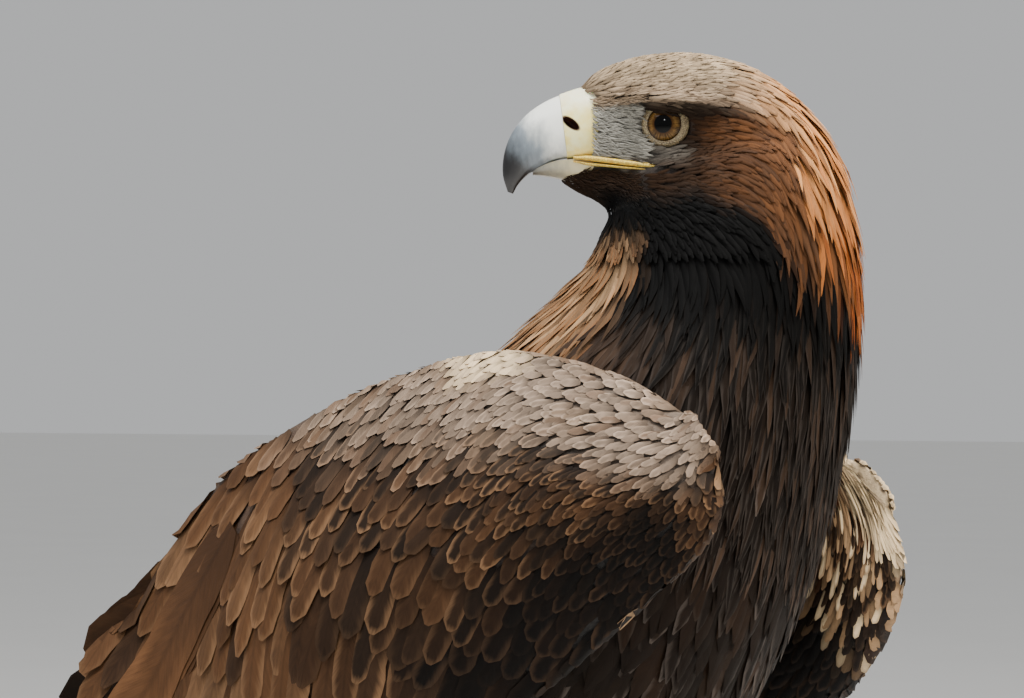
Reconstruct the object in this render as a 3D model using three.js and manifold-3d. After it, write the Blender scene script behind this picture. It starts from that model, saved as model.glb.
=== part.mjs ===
// A life-size golden eagle, standing with its head turned back over its right shoulder.
// Millimetres, +Z up. The body faces -Y and its left side is towards +X. A place on the body is given as
// (forward, left, up): towards the breast, towards the bird's left wing and above the floor.
import * as THREE from "three";
import { mergeVertices } from "three/addons/utils/BufferGeometryUtils.js";
import Module from "manifold-3d";

const wasm = await Module();
wasm.setup();

const RIGHT = -1;
const LEFT = 1;
const SIDES = [RIGHT, LEFT];
const SIDE_NAMES = { [RIGHT]: "right", [LEFT]: "left" };
const GAP = 0.35; // between pieces that touch

// The trunk: one long form from inside the head to the root of the tail.
// Each station has its place, how far the back and the breast stand off it, and half its width.
const TRUNK = [
  { forward: 62, up: 566, back: 40, breast: 50, half: 38 },
  { forward: 66, up: 540, back: 47, breast: 56, half: 47 },
  { forward: 64, up: 506, back: 60, breast: 60, half: 57 },
  { forward: 50, up: 465, back: 74, breast: 68, half: 76 },
  { forward: 18, up: 405, back: 95, breast: 80, half: 90 },
  { forward: -28, up: 346, back: 118, breast: 84, half: 93 },
  { forward: -84, up: 292, back: 112, breast: 74, half: 82 },
  { forward: -138, up: 250, back: 82, breast: 52, half: 61 },
  { forward: -180, up: 222, back: 42, breast: 30, half: 43 },
  { forward: -232, up: 190, back: 12, breast: 13, half: 33 },
  { forward: -290, up: 155, back: 4, breast: 5, half: 27 },
];
const TRUNK_RINGS = 24;
const TRUNK_SIDES = 22;
const NECK_BASE_STATION = 2.75; // where the neck ends and the torso begins
const TAIL_BASE_STATION = 8.1; // where the torso ends and the tail begins

// The head, in its own frame: x towards the bill, y towards its left, z up, from between the eyes.
// Each ring has its top and bottom, half its width and the height at which it is widest.
const HEAD_TURN = 156; // degrees from straight ahead, over the right shoulder
const HEAD_PLACE = { forward: 47.3, left: -7.9, up: 581 };
const HEAD = [
  { x: 34, top: 19.5, bottom: -26.5, half: 12.6, wide: -4 },
  { x: 26, top: 24.4, bottom: -33, half: 16.5, wide: -4 },
  { x: 14, top: 28.4, bottom: -41, half: 21, wide: -4 },
  { x: 0, top: 30.4, bottom: -46, half: 25.2, wide: -6 },
  { x: -16, top: 29.6, bottom: -43, half: 30, wide: -8 },
  { x: -34, top: 24, bottom: -45, half: 33.5, wide: -10 },
  { x: -50, top: 13, bottom: -47, half: 33, wide: -16 },
  { x: -63, top: -2, bottom: -48, half: 29, wide: -24 },
  { x: -72, top: -20, bottom: -46, half: 18, wide: -34 },
];
const HEAD_RINGS = 11;
const HEAD_SIDES = 20;
const NAPE_CUT = { throat: [20, -41], crown: [-58, 8] }; // x and z of the line where head and neck part

// The eyes look outwards and a little forwards. A lid rings each, and a bony brow shades it.
const EYE_RADIUS = 11;
const EYE_DEEP = 16.2; // from the middle of the head to the middle of each eye
const EYE_FORWARD = 17; // degrees from straight out towards the bill
const SOCKET_GAP = 0.7; // between the eye and its socket
const LID = { reach: 9.2, thick: 1.5, flat: 0.94 };
const BROW = [
  { x: 25, z: 9.5, off: -2, radius: 2 },
  { x: 17, z: 10, off: 0, radius: 3.2 },
  { x: 8, z: 10.6, off: 1.3, radius: 3.8 },
  { x: -2, z: 10.2, off: 1.4, radius: 3.8 },
  { x: -12, z: 8, off: 0.2, radius: 3.2 },
  { x: -22, z: 5, off: -2.4, radius: 2.2 },
];

// The bill: each station runs from a point on its ridge to a point on its cutting edge.
const MOUTH_Z = -13.2;
const MOUTH_LINE = 0.6; // the slit between the upper and the lower bill
const UPPER_EDGE = MOUTH_Z + MOUTH_LINE / 2;
const BILL = [
  { topX: 29, topZ: 17.2, lowX: 29, lowZ: UPPER_EDGE, half: 12.4 },
  { topX: 36, topZ: 15.8, lowX: 35, lowZ: UPPER_EDGE, half: 11.6 },
  { topX: 43.5, topZ: 13.4, lowX: 42, lowZ: UPPER_EDGE, half: 10.4 },
  { topX: 51.5, topZ: 9.8, lowX: 47.5, lowZ: -14.2, half: 8.8 },
  { topX: 59, topZ: 4.2, lowX: 52, lowZ: -16.4, half: 7 },
  { topX: 64.6, topZ: -3.4, lowX: 55.2, lowZ: -18.2, half: 5.2 },
  { topX: 67.4, topZ: -11.6, lowX: 58, lowZ: -20, half: 3.8 },
  { topX: 67.8, topZ: -19.6, lowX: 61.4, lowZ: -23.6, half: 2.5 },
  { topX: 65.8, topZ: -26.6, lowX: 63.6, lowZ: -27.4, half: 0.9 },
];
const BILL_RINGS = 12;
const BILL_SIDES = 14;
const BILL_PINCH = 0.22; // how much narrower the ridge is than the cutting edge
const LOWER_BILL = [
  { x: 29, bottom: -25.5, half: 10.2, lip: 0 },
  { x: 38, bottom: -23.2, half: 8.8, lip: 0 },
  { x: 46, bottom: -21.2, half: 6.8, lip: -0.6 },
  { x: 52, bottom: -20.2, half: 4.8, lip: -2.6 },
  { x: 55.5, bottom: -19.8, half: 2.4, lip: -4.4 },
];
const LOWER_BILL_SIDES = 12;
const CERE = { back: 32.5, front: 43, slant: 0.12 };
const NOSTRIL = { x: 40, y: 11.2, z: 1, long: 3.9, deep: 5, high: 1.7, slant: 38 };

// The soft lips run back from the bill to below the eye, one above the mouth line and one below.
const LIP = { front: 35, back: 3, fall: 3.8, above: 2.7, below: 2.1, deep: 4.5, proud: 1.1, steps: 5 };
const LIP_AT_BILL = 10.6; // how far the lips stand from the middle of the head at their front

// The hind neck and its long lance-shaped feathers, laid in rows like tiles.
// Each station has the x and z of its hind edge in the head's frame and the radius of its curve.
const NAPE_LINE = [
  { x: -52, z: 12, radius: 27 },
  { x: -67, z: -6, radius: 32 },
  { x: -74, z: -26, radius: 40 },
  { x: -77, z: -48, radius: 47 },
  { x: -76, z: -72, radius: 52 },
  { x: -74, z: -96, radius: 58 },
];
const NAPE_FLAT = 0.94; // half the width of the hind neck against its radius
const HACKLE = { long: 50, half: 5.6, thick: 0.8, slope: 0.13, sunk: 2.4, gap: 0.8 };
const HACKLE_OUTLINE = [[0, 0.8], [0.55, 1], [1, 0.12]]; // share of the length, share of the half width
const HACKLE_ROWS = { count: 5, from: 0.08, to: 0.58, spread: [62, 106] };

// The folded wings. p runs from the wrist to the wing tip, q from the leading edge up towards the back.
// The right wing is closed. The left hangs a little, with its inner feathers less closed.
const WINGS = {
  [RIGHT]: { forward: 101, up: 419, out: 0, front: 40, rear: 22, fan: 0, spread: 0, droop: 0 },
  [LEFT]: { forward: 105, up: 396, out: 5, front: 38, rear: 18, fan: 21, spread: 50, droop: 27 },
};
const WING_LONG = 620;
const WING_STRAIGHT = 120; // the axis is straight as far as this and then flattens
const WING_LOW = [
  [-18, 20], [-9, 5], [6, -3], [34, -6], [78, -6], [124, -5], [175, -3], [206, -1], [236, 1], [254, 2],
];
const WING_HIGH = [
  [-18, 46], [-9, 68], [6, 91], [34, 121], [78, 145], [124, 161], [175, 168], [206, 163], [236, 153],
  [254, 144],
];
const DROOP_SHARE = [[-18, 0.1], [6, 0.45], [40, 0.85], [90, 1], [200, 0.9], [330, 0.5], [600, 0.2]];
const SPREAD_FROM = 60;
const SPREAD_FULL = 260;

// How far a wing's outer face stands from the middle of the bird, at its crest and at its upper edge,
// and how far the leading edge falls back from the crest.
const WING_CREST = [
  [-18, 97], [0, 113], [34, 124], [90, 127], [165, 124], [232, 117], [330, 104], [450, 81], [620, 62],
];
const WING_UPPER = [
  [-18, 90], [0, 82], [34, 68], [90, 54], [165, 44], [232, 44], [330, 56], [450, 66], [620, 58],
];
const WING_NOSE_DROP = [[-18, 4], [10, 17], [90, 18], [165, 15], [254, 6], [330, 0]];
const WING_ROUND = [[150, 1], [255, 0.12]]; // 1 where the wing is padded, near 0 where it is flat
const CREST_SHARE = 0.36; // of the way up from the leading edge
const WING_THICK = [[-18, 9], [-6, 22], [16, 34], [80, 36], [130, 32], [190, 20], [236, 9], [254, 3.2]];
const WING_CUTS = [-18, -14, -6, 8, 28, 54, 86, 120, 154, 186, 218, 254];
const WING_SIDES = 9; // on each face

// The tiers of feathers on a wing, each from its outermost feather to its innermost. `p` and `q` place the
// root, `lean` turns it from the wing's axis in degrees, `lift` is how far root and tip stand off the wing's
// face, `layer` what each next feather adds to that, and `point` the share of the length that is tip.
// `drop`, `turn` and `open` say how far a hanging, fanned or spread wing moves the tier.
const FEATHER_THICK = 0.8;
const LAYER = 1.35; // from one flight feather of the stack to the next
const PRIMARY_TIPS = [[0, 372], [0.35, 450], [0.75, 610], [0.88, 616], [1, 560]]; // share of the tier, p
const TIERS = {
  primaries: {
    count: 7, p: [70, 132], q: [26, 8], lean: [-1.2, 1.8], half: [15, 12], point: 0.16,
    lift: [-9 * LAYER, -9 * LAYER], layer: [-LAYER, -LAYER], drop: [0.5, 0.95], turn: [0.05, 0.05],
  },
  secondaries: {
    count: 8, p: [52, 166], q: [28, 118], lean: [-2, -16], long: [325, 225], half: [15, 16], point: 0.1,
    lift: [-8 * LAYER, -8 * LAYER], layer: [LAYER, LAYER], drop: [0.6, 0], turn: [0.25, 1.35],
  },
  tertials: {
    count: 3, p: [172, 176], q: [128, 140], lean: [-17, -21], long: [190, 135], half: [15, 15], point: 0.25,
    cuts: 4, lift: [-2, 1.6], layer: [0, LAYER], turn: [1.15, 1.3], open: [0.55, 0.55],
  },
  greaterCoverts: {
    count: 9, p: [96, 160], q: [17, 116], lean: [-2, -13], long: [114, 100], half: [5.3, 5.3], point: 0.34,
    cuts: 3, lift: [-5, 2.2], drop: [0.7, 0], turn: [0.2, 1.2], ragged: 5, wider: 1,
  },
  medianCoverts: {
    count: 8, p: [64, 122], q: [26, 108], lean: [-3, -13], long: [70, 70], half: [5.3, 5.3], point: 0.42,
    cuts: 3, lift: [-3, 4], drop: [0.6, 0], turn: [0.1, 0.9], ragged: 4, wider: 1,
  },
  primaryCoverts: {
    count: 3, p: [98, 126], q: [8, 0], lean: [0, 1.5], long: [100, 116], half: [6.5, 6.5], point: 0.4,
    cuts: 3, lift: [-5, 2.6], layer: [0, -1.2], drop: [0.9, 0.9],
  },
  alula: {
    count: 2, p: [44, 54], q: [9, 2], lean: [1, 1], long: [80, 98], half: [6, 6], point: 0.5,
    cuts: 3, lift: [-3, 5], layer: [0, -1.2], drop: [0.8, 0.8],
  },
  scapulars: {
    count: 5, p: [54, 146], q: [114, 134], lean: [2, -8], long: [74, 92], half: [9.5, 9.5], point: 0.45,
    cuts: 3, lift: [-3, 6.4], turn: [0, 1], open: [0, 0.4], ragged: 5, stagger: { q: -8, lift: -1.2 },
  },
};
const WIDER_BY_FAN = 0.05; // how much wider the coverts of a fanned wing are, for each degree
const FLIGHT_CUTS = { from: 160, step: 70, last: 12 }; // flight feathers are all cut at the same p
const ROOT_RISE = 0.3; // share of a feather's length in which it climbs out from under the one before

// The tail: its root is the end of the trunk, and its twelve feathers lie over one another, the middle
// pair on top, between shorter coverts above and below.
const TAIL = { pairs: 6, start: 8, long: 318, shorter: 4, half: 21, apart: 3, aside: 1.5, fan: 0.85 };
const TAIL_FALL = 31; // degrees below the level
const TAIL_TOP = 3; // of the upper middle feather above the line of the tail
const TAIL_STEP = 0.806; // from each tail feather down to the next
const TAIL_COVERTS = [
  { count: 5, long: 118, lift: 1, away: 1 },
  { count: 5, long: 142, lift: -6, away: -1 },
];
const TAIL_COVERT = {
  start: -26, step: 5, half: 11, spread: 23, lean: 2.5, shorter: 0.16, rise: 9.5, curve: 3.9,
};

// The legs. Each has a feathered thigh, a feathered shank and a bare yellow foot of four toes.
// The thigh's rings give a share of the way from knee to hock, half the depth and half the width.
const LEG = { apart: 50, knee: [-30, 268], hock: [-86, 128], ankle: [-52, 24], turnOut: 8 };
const THIGH = [
  { share: -0.34, deep: 14, half: 12 },
  { share: -0.24, deep: 36, half: 31 },
  { share: -0.04, deep: 50, half: 41 },
  { share: 0.2, deep: 52, half: 42 },
  { share: 0.42, deep: 46, half: 38 },
  { share: 0.64, deep: 37, half: 31 },
  { share: 0.84, deep: 28, half: 24 },
  { share: 1.02, deep: 21, half: 18 },
  { share: 1.12, deep: 17, half: 15 },
];
const THIGH_SIDES = 14;
const THIGH_SLOPE = 0.28; // how much lower the front of a ring is than its middle, for its depth
const SHANK = [[0.02, 15.5], [0.25, 14], [0.5, 12.8], [0.75, 12.2], [1.08, 12.6]]; // share, radius
const SHANK_SIDES = 12;

// Toes: heading in degrees from straight ahead, length and thickness, and the claw's reach beyond it.
const TOES = {
  middle: { heading: 2, long: 66, thick: 8.2, claw: 34, joints: 4 },
  inner: { heading: -42, long: 50, thick: 8.2, claw: 38, joints: 3 },
  outer: { heading: 44, long: 52, thick: 7.6, claw: 29, joints: 3 },
  hind: { heading: 180, long: 38, thick: 8.8, claw: 42, joints: 2 },
};
const TOE = {
  start: 7, rings: 7, sides: 8, taper: [1.02, 0.74], knuckle: 0.07, scute: 1.1, sole: 1.6, flat: 0.92,
};
const PAD = { radius: 15, high: 24, sides: 16 };
const PAD_RINGS = [[0, 0.86], [3, 1], [11, 1.02], [19, 0.92], [PAD.high, 0.84]]; // height, share of radius
const PAD_WIDEST = 1.03;
const CLAW = {
  thick: 4.4, taper: 0.88, tip: 0.55, reach: 0.74, arch: 3.4, low: 0.9, bend: [20, -98], rings: 5, sides: 6,
};

const COLOURS = {
  crown: [0.36, 0.25, 0.16], hackle: [0.5, 0.28, 0.11], breast: [0.09, 0.065, 0.045],
  wing: [0.2, 0.13, 0.085], tail: [0.1, 0.075, 0.055], thigh: [0.13, 0.09, 0.06], shank: [0.26, 0.19, 0.12],
  horn: [0.36, 0.4, 0.43], skin: [0.78, 0.62, 0.2], claw: [0.03, 0.03, 0.032], eye: [0.3, 0.16, 0.06],
};
const ROUGHNESS = {
  crown: 0.75, hackle: 0.7, breast: 0.75, wing: 0.65, tail: 0.65, thigh: 0.75, shank: 0.8,
  horn: 0.35, skin: 0.5, claw: 0.3, eye: 0.08,
};

// Small tools for numbers and places

const degrees = THREE.MathUtils.degToRad;
const lerp = THREE.MathUtils.lerp;
const clamp = THREE.MathUtils.clamp;
const UP = new THREE.Vector3(0, 0, 1);
const place = (forward, left, up) => new THREE.Vector3(left, -forward, up);

// A smooth curve through [x, value] pairs, held level past its ends.
function curveThrough(pairs) {
  const last = pairs.length - 1;
  const slope = (i) => {
    const a = pairs[Math.max(i - 1, 0)];
    const b = pairs[Math.min(i + 1, last)];
    return (b[1] - a[1]) / (b[0] - a[0]);
  };
  return (x) => {
    if (x <= pairs[0][0]) return pairs[0][1];
    if (x >= pairs[last][0]) return pairs[last][1];
    const i = pairs.findIndex((pair, k) => k < last && x < pairs[k + 1][0]);
    const span = pairs[i + 1][0] - pairs[i][0];
    const t = (x - pairs[i][0]) / span;
    const bend = t * t * (3 - 2 * t);
    const rise = t * (1 - t) * (1 - t) * span * slope(i);
    const fall = t * t * (t - 1) * span * slope(i + 1);
    return pairs[i][1] * (1 - bend) + pairs[i + 1][1] * bend + rise + fall;
  };
}

// Turns a list of stations into one smooth curve for each named size, run by the station's number.
function curvesOf(stations) {
  const curves = {};
  for (const key of Object.keys(stations[0]))
    curves[key] = curveThrough(stations.map((station, i) => [i, station[key]]));
  return curves;
}

// A repeatable draw between -1 and 1 for the n-th piece of a kind.
function draw(n, kind) {
  const wave = Math.sin(n * 12.9898 + kind * 78.233) * 43758.5453;
  return 2 * (wave - Math.floor(wave)) - 1;
}

// Small tools for solids

function solidOf(geometry) {
  const bare = geometry.clone();
  bare.deleteAttribute("normal");
  bare.deleteAttribute("uv");
  const merged = mergeVertices(bare, 1e-4);
  const vertProperties = merged.attributes.position.array;
  const make = (triVerts) => new wasm.Manifold(new wasm.Mesh({ numProp: 3, vertProperties, triVerts }));
  const triangles = new Uint32Array(merged.index.array);
  const made = make(triangles);
  if (made.volume() >= 0) return made;
  for (let i = 0; i < triangles.length; i += 3)
    [triangles[i + 1], triangles[i + 2]] = [triangles[i + 2], triangles[i + 1]];
  return make(triangles);
}

function geometryFrom(points, triangles) {
  return new THREE.BufferGeometry().setFromPoints(points).setIndex(triangles);
}

// A closed body through rings with the same count of points, each end closed on its middle.
function loft(rings) {
  const count = rings[0].length;
  const points = rings.flat();
  const triangles = [];
  for (let i = 0; i + 1 < rings.length; i++)
    for (let j = 0; j < count; j++) {
      const a = i * count + j;
      const b = i * count + ((j + 1) % count);
      triangles.push(a, b, b + count, a, b + count, a + count);
    }
  for (const [start, turned] of [[0, true], [(rings.length - 1) * count, false]]) {
    const middle = points.length;
    const centre = new THREE.Vector3();
    for (let j = 0; j < count; j++) centre.addScaledVector(points[start + j], 1 / count);
    points.push(centre);
    for (let j = 0; j < count; j++) {
      const a = start + j;
      const b = start + ((j + 1) % count);
      triangles.push(...(turned ? [middle, b, a] : [middle, a, b]));
    }
  }
  return solidOf(geometryFrom(points, triangles));
}

// A thin vane through stations of four points: outer left, outer right, inner right, inner left.
// Both faces are split along the same diagonal, so a curved vane never crosses itself.
function vane(stations) {
  const points = stations.flat();
  const triangles = [0, 1, 2, 0, 2, 3];
  const last = points.length - 4;
  triangles.push(last, last + 2, last + 1, last, last + 3, last + 2);
  for (let i = 0; i + 1 < stations.length; i++) {
    const [a, b, c, d] = [0, 1, 2, 3].map((k) => 4 * i + k);
    const [e, f, g, h] = [4, 5, 6, 7].map((k) => 4 * i + k);
    triangles.push(a, e, f, a, f, b);
    triangles.push(d, g, h, d, c, g);
    triangles.push(b, f, g, b, g, c);
    triangles.push(d, h, e, d, e, a);
  }
  return solidOf(geometryFrom(points, triangles));
}

// Of the bodies in a solid, the one with the most volume, with any sealed hollow inside it filled.
function largest(solid) {
  const bodies = solid.decompose();
  bodies.sort((a, b) => b.volume() - a.volume());
  return outerShell(bodies[0].getMesh());
}

// Of the closed surfaces of one body, the one with the largest box, which is its outer one.
function outerShell(mesh) {
  const parent = Array.from({ length: mesh.numVert }, (_, i) => i);
  const find = (i) => {
    while (parent[i] !== i) i = parent[i] = parent[parent[i]];
    return i;
  };
  for (let i = 0; i < mesh.mergeFromVert.length; i++)
    parent[find(mesh.mergeFromVert[i])] = find(mesh.mergeToVert[i]);
  for (let i = 0; i < mesh.triVerts.length; i += 3) {
    parent[find(mesh.triVerts[i])] = find(mesh.triVerts[i + 1]);
    parent[find(mesh.triVerts[i + 1])] = find(mesh.triVerts[i + 2]);
  }
  const shells = new Map();
  for (let i = 0; i < mesh.triVerts.length; i += 3) {
    const shell = find(mesh.triVerts[i]);
    if (!shells.has(shell)) shells.set(shell, []);
    shells.get(shell).push(mesh.triVerts[i], mesh.triVerts[i + 1], mesh.triVerts[i + 2]);
  }
  const surfaces = [...shells.values()].map((triangles) => {
    const numbers = new Map();
    const points = [];
    const index = triangles.map((i) => {
      if (!numbers.has(i)) {
        numbers.set(i, points.length);
        points.push(new THREE.Vector3().fromArray(mesh.vertProperties, i * mesh.numProp));
      }
      return numbers.get(i);
    });
    const size = new THREE.Box3().setFromPoints(points).getSize(new THREE.Vector3()).length();
    return { points, index, size };
  });
  surfaces.sort((a, b) => b.size - a.size);
  return solidOf(geometryFrom(surfaces[0].points, surfaces[0].index));
}

function ball(centre, radius) {
  const geometry = new THREE.SphereGeometry(radius, 16, 9);
  geometry.translate(centre.x, centre.y, centre.z);
  return solidOf(geometry);
}

// A round tapered tube through [point, radius] pairs.
function tube(stations, sides) {
  const centres = stations.map((station) => station[0]);
  return loft(
    stations.map(([centre, radius], i) => {
      const before = centres[Math.max(i - 1, 0)];
      const after = centres[Math.min(i + 1, centres.length - 1)];
      const along = after.clone().sub(before).normalize();
      const side = UP.clone().cross(along).normalize();
      const up = along.clone().cross(side);
      return Array.from({ length: sides }, (_, k) => {
        const turn = (2 * Math.PI * (k + 0.5)) / sides;
        const across = radius * Math.cos(turn);
        return centre.clone().addScaledVector(side, across).addScaledVector(up, radius * Math.sin(turn));
      });
    }),
  );
}

// Keeps what lies past a plane, half a gap clear of it: on its front with way 1, behind it with way -1.
function keepPast(solid, plane, way) {
  const normal = plane.normal.clone().normalize().multiplyScalar(way);
  return solid.trimByPlane([normal.x, normal.y, normal.z], normal.dot(plane.point) + GAP / 2);
}

// A solid with copies of it shifted by the gap, as a cutter that leaves its neighbour clear on those sides.
function spaced(solid, ways) {
  const copies = ways.map((way) => solid.translate([GAP * way.x, GAP * way.y, GAP * way.z]));
  return wasm.Manifold.union([solid, ...copies]);
}

// Trunk

const trunk = curvesOf(TRUNK);

// The middle of the trunk at a station number, with its direction towards the back and towards the head.
function trunkFrame(station) {
  const step = 0.01;
  const run = place(
    trunk.forward(station - step) - trunk.forward(station + step),
    0,
    trunk.up(station - step) - trunk.up(station + step),
  ).normalize();
  const middle = place(trunk.forward(station), 0, trunk.up(station));
  return { middle, ahead: run, back: place(-run.z, 0, -run.y) };
}

// A point on the trunk: turn 0 is the spine, 90 the left flank, 180 the breast. `out` stands it off.
function trunkPoint(station, turn, out) {
  const { middle, back } = trunkFrame(station);
  const angle = degrees(turn);
  const depth = Math.cos(angle) > 0 ? trunk.back(station) : trunk.breast(station);
  const left = (trunk.half(station) + out) * Math.sin(angle);
  return middle.clone().addScaledVector(back, (depth + out) * Math.cos(angle)).add(place(0, left, 0));
}

function trunkForm(out = 0) {
  const rings = [];
  for (let i = 0; i <= TRUNK_RINGS; i++) {
    const station = ((TRUNK.length - 1) * i) / TRUNK_RINGS;
    const turns = Array.from({ length: TRUNK_SIDES }, (_, j) => (360 * j) / TRUNK_SIDES);
    rings.push(turns.map((turn) => trunkPoint(station, turn, out)));
  }
  return loft(rings);
}

// A plane across the trunk, facing the head.
function trunkPlane(station) {
  const { middle, ahead } = trunkFrame(station);
  return { point: middle, normal: ahead };
}

// Head

const headSizes = curvesOf(HEAD);
const headHeading = degrees(HEAD_TURN);
const headForward = place(Math.cos(headHeading), -Math.sin(headHeading), 0);
const headLeft = place(Math.sin(headHeading), Math.cos(headHeading), 0);
const headMiddle = place(HEAD_PLACE.forward, HEAD_PLACE.left, HEAD_PLACE.up);
const alongHead = (x, y, z) =>
  headForward.clone().multiplyScalar(x).addScaledVector(headLeft, y).addScaledVector(UP, z);
const onHead = (x, y, z) => alongHead(x, y, z).add(headMiddle);

// The number of the head's ring at x, with a share of the way to the next.
function headStation(x) {
  const i = HEAD.findIndex((ring, k) => k + 1 < HEAD.length && x >= HEAD[k + 1].x);
  if (i < 0) return HEAD.length - 1;
  return i + clamp((HEAD[i].x - x) / (HEAD[i].x - HEAD[i + 1].x), 0, 1);
}

// How far the cheek stands off the middle of the head at a given x and z.
function cheekAt(x, z) {
  const station = headStation(x);
  const wide = headSizes.wide(station);
  const reach = z > wide ? headSizes.top(station) - wide : wide - headSizes.bottom(station);
  const share = clamp((z - wide) / reach, -0.98, 0.98);
  return headSizes.half(station) * Math.sqrt(1 - share * share);
}

function headRing(station) {
  const sizes = Object.fromEntries(Object.entries(headSizes).map(([key, at]) => [key, at(station)]));
  return Array.from({ length: HEAD_SIDES }, (_, j) => {
    const turn = (2 * Math.PI * j) / HEAD_SIDES;
    const reach = Math.cos(turn) > 0 ? sizes.top - sizes.wide : sizes.wide - sizes.bottom;
    return onHead(sizes.x, sizes.half * Math.sin(turn), sizes.wide + reach * Math.cos(turn));
  });
}

function headForm() {
  const rings = [];
  for (let i = 0; i <= HEAD_RINGS; i++) rings.push(headRing(((HEAD.length - 1) * i) / HEAD_RINGS));
  return loft(rings);
}

// Eyes, lids and brows

const eyeMiddle = (side) => onHead(0, side * EYE_DEEP, 0);

function lidRing(side) {
  const turn = degrees(EYE_FORWARD);
  const axis = alongHead(Math.sin(turn), side * Math.cos(turn), 0);
  const ring = new THREE.TorusGeometry(LID.reach, LID.thick, 6, 18);
  ring.scale(1, LID.flat, 1);
  ring.applyQuaternion(new THREE.Quaternion().setFromUnitVectors(UP, axis));
  const centre = eyeMiddle(side).addScaledVector(axis, Math.sqrt(EYE_RADIUS ** 2 - LID.reach ** 2));
  ring.translate(centre.x, centre.y, centre.z);
  return solidOf(ring);
}

function brow(side) {
  const line = BROW.map(({ x, z, off, radius }) => [onHead(x, side * (cheekAt(x, z) + off), z), radius]);
  return tube(line, 8);
}

// Bill, cere and lips

function billForm() {
  const sizes = curvesOf(BILL);
  const rings = [];
  for (let i = 0; i <= BILL_RINGS; i++) {
    const station = ((BILL.length - 1) * i) / BILL_RINGS;
    rings.push(
      Array.from({ length: BILL_SIDES }, (_, j) => {
        const turn = (2 * Math.PI * (j + 0.5)) / BILL_SIDES;
        const rise = 0.5 + 0.5 * Math.sign(Math.cos(turn)) * Math.abs(Math.cos(turn)) ** 0.85;
        return onHead(
          lerp(sizes.lowX(station), sizes.topX(station), rise),
          sizes.half(station) * Math.sin(turn) * (1 - BILL_PINCH * Math.cos(turn)),
          lerp(sizes.lowZ(station), sizes.topZ(station), rise),
        );
      }),
    );
  }
  return loft(rings);
}

function lowerBillForm() {
  return loft(
    LOWER_BILL.map(({ x, bottom, half, lip: drop }) => {
      const top = MOUTH_Z - MOUTH_LINE / 2 + drop;
      return Array.from({ length: LOWER_BILL_SIDES }, (_, j) => {
        const turn = (2 * Math.PI * j) / LOWER_BILL_SIDES;
        const low = Math.max(0, -Math.cos(turn));
        return onHead(x, half * Math.sin(turn), lerp(top, bottom, low));
      });
    }),
  );
}

function lip(side, above, out = 0) {
  const way = above ? 1 : -1;
  const tall = above ? LIP.above : LIP.below;
  const rings = [];
  for (let i = 0; i <= LIP.steps; i++) {
    const t = i / LIP.steps;
    const x = lerp(LIP.front, LIP.back, t) - (i === LIP.steps ? out : 0);
    const line = MOUTH_Z - LIP.fall * t + way * (MOUTH_LINE / 2 - out);
    const far = line + way * (tall * (1 - 0.55 * t ** 3) + 2 * out);
    const cheek = Math.max(cheekAt(x, line), i === 0 ? LIP_AT_BILL : 0);
    const reach = cheek + LIP.proud * (1 - 0.4 * t ** 3) + out;
    const inside = reach - LIP.deep - 2 * out;
    const corners = [[reach, line], [reach - 0.5, far], [inside, far], [inside, line]];
    rings.push(corners.map(([y, z]) => onHead(x, side * y, z)));
  }
  return loft(rings);
}

function nostril(side) {
  const shape = new THREE.SphereGeometry(1, 10, 6);
  shape.scale(NOSTRIL.long, NOSTRIL.deep, NOSTRIL.high);
  shape.rotateY(-degrees(NOSTRIL.slant));
  const frame = new THREE.Matrix4().makeBasis(headForward, headLeft, UP);
  shape.applyMatrix4(frame.setPosition(onHead(NOSTRIL.x, side * NOSTRIL.y, NOSTRIL.z)));
  return solidOf(shape);
}

// Hind neck

const napeLine = curvesOf(NAPE_LINE);

// A point of the hind neck: share 0 at the crown, 1 at the foot. Turn 0 is straight behind the head.
function napePoint(share, turn, out = 0) {
  const station = share * (NAPE_LINE.length - 1);
  const radius = napeLine.radius(station);
  const angle = degrees(turn);
  return onHead(
    napeLine.x(station) + radius - (radius + out) * Math.cos(angle),
    (radius * NAPE_FLAT + out) * Math.sin(angle),
    napeLine.z(station),
  );
}

// One lance-shaped feather from its root along `lie`, its tip standing off a little.
function hackle(root, lie, outward, long) {
  const across = lie.clone().cross(outward).normalize();
  return vane(
    HACKLE_OUTLINE.map(([along, wide]) => {
      const lift = HACKLE.slope * long * along - HACKLE.sunk;
      const centre = root.clone().addScaledVector(lie, long * along).addScaledVector(outward, lift);
      return [[-1, 1], [1, 1], [1, -1], [-1, -1]].map(([side, face]) =>
        centre
          .clone()
          .addScaledVector(outward, (face * HACKLE.thick) / 2)
          .addScaledVector(across, side * HACKLE.half * wide),
      );
    }),
  );
}

function hackles() {
  const made = [];
  for (let row = 0; row < HACKLE_ROWS.count; row++) {
    const down = row / (HACKLE_ROWS.count - 1);
    const share = lerp(HACKLE_ROWS.from, HACKLE_ROWS.to, down);
    const spread = lerp(...HACKLE_ROWS.spread, down);
    const radius = napeLine.radius(share * (NAPE_LINE.length - 1));
    const across = Math.floor((degrees(2 * spread) * radius) / (2 * HACKLE.half + HACKLE.gap));
    for (let k = 0; k < across; k++) {
      const turn = spread * ((2 * k + 1 + (row % 2 ? 0.5 : -0.5)) / across - 1);
      const root = napePoint(share, turn);
      const lie = napePoint(share + 0.2, turn * 1.02).sub(root).normalize();
      const outward = napePoint(share, turn, 5).sub(root);
      outward.addScaledVector(lie, -outward.dot(lie)).normalize();
      const long = HACKLE.long * (0.76 + 0.26 * down + 0.07 * draw(made.length, 1));
      made.push(hackle(root, lie, outward, long));
    }
  }
  return made;
}

// Wings

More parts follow.
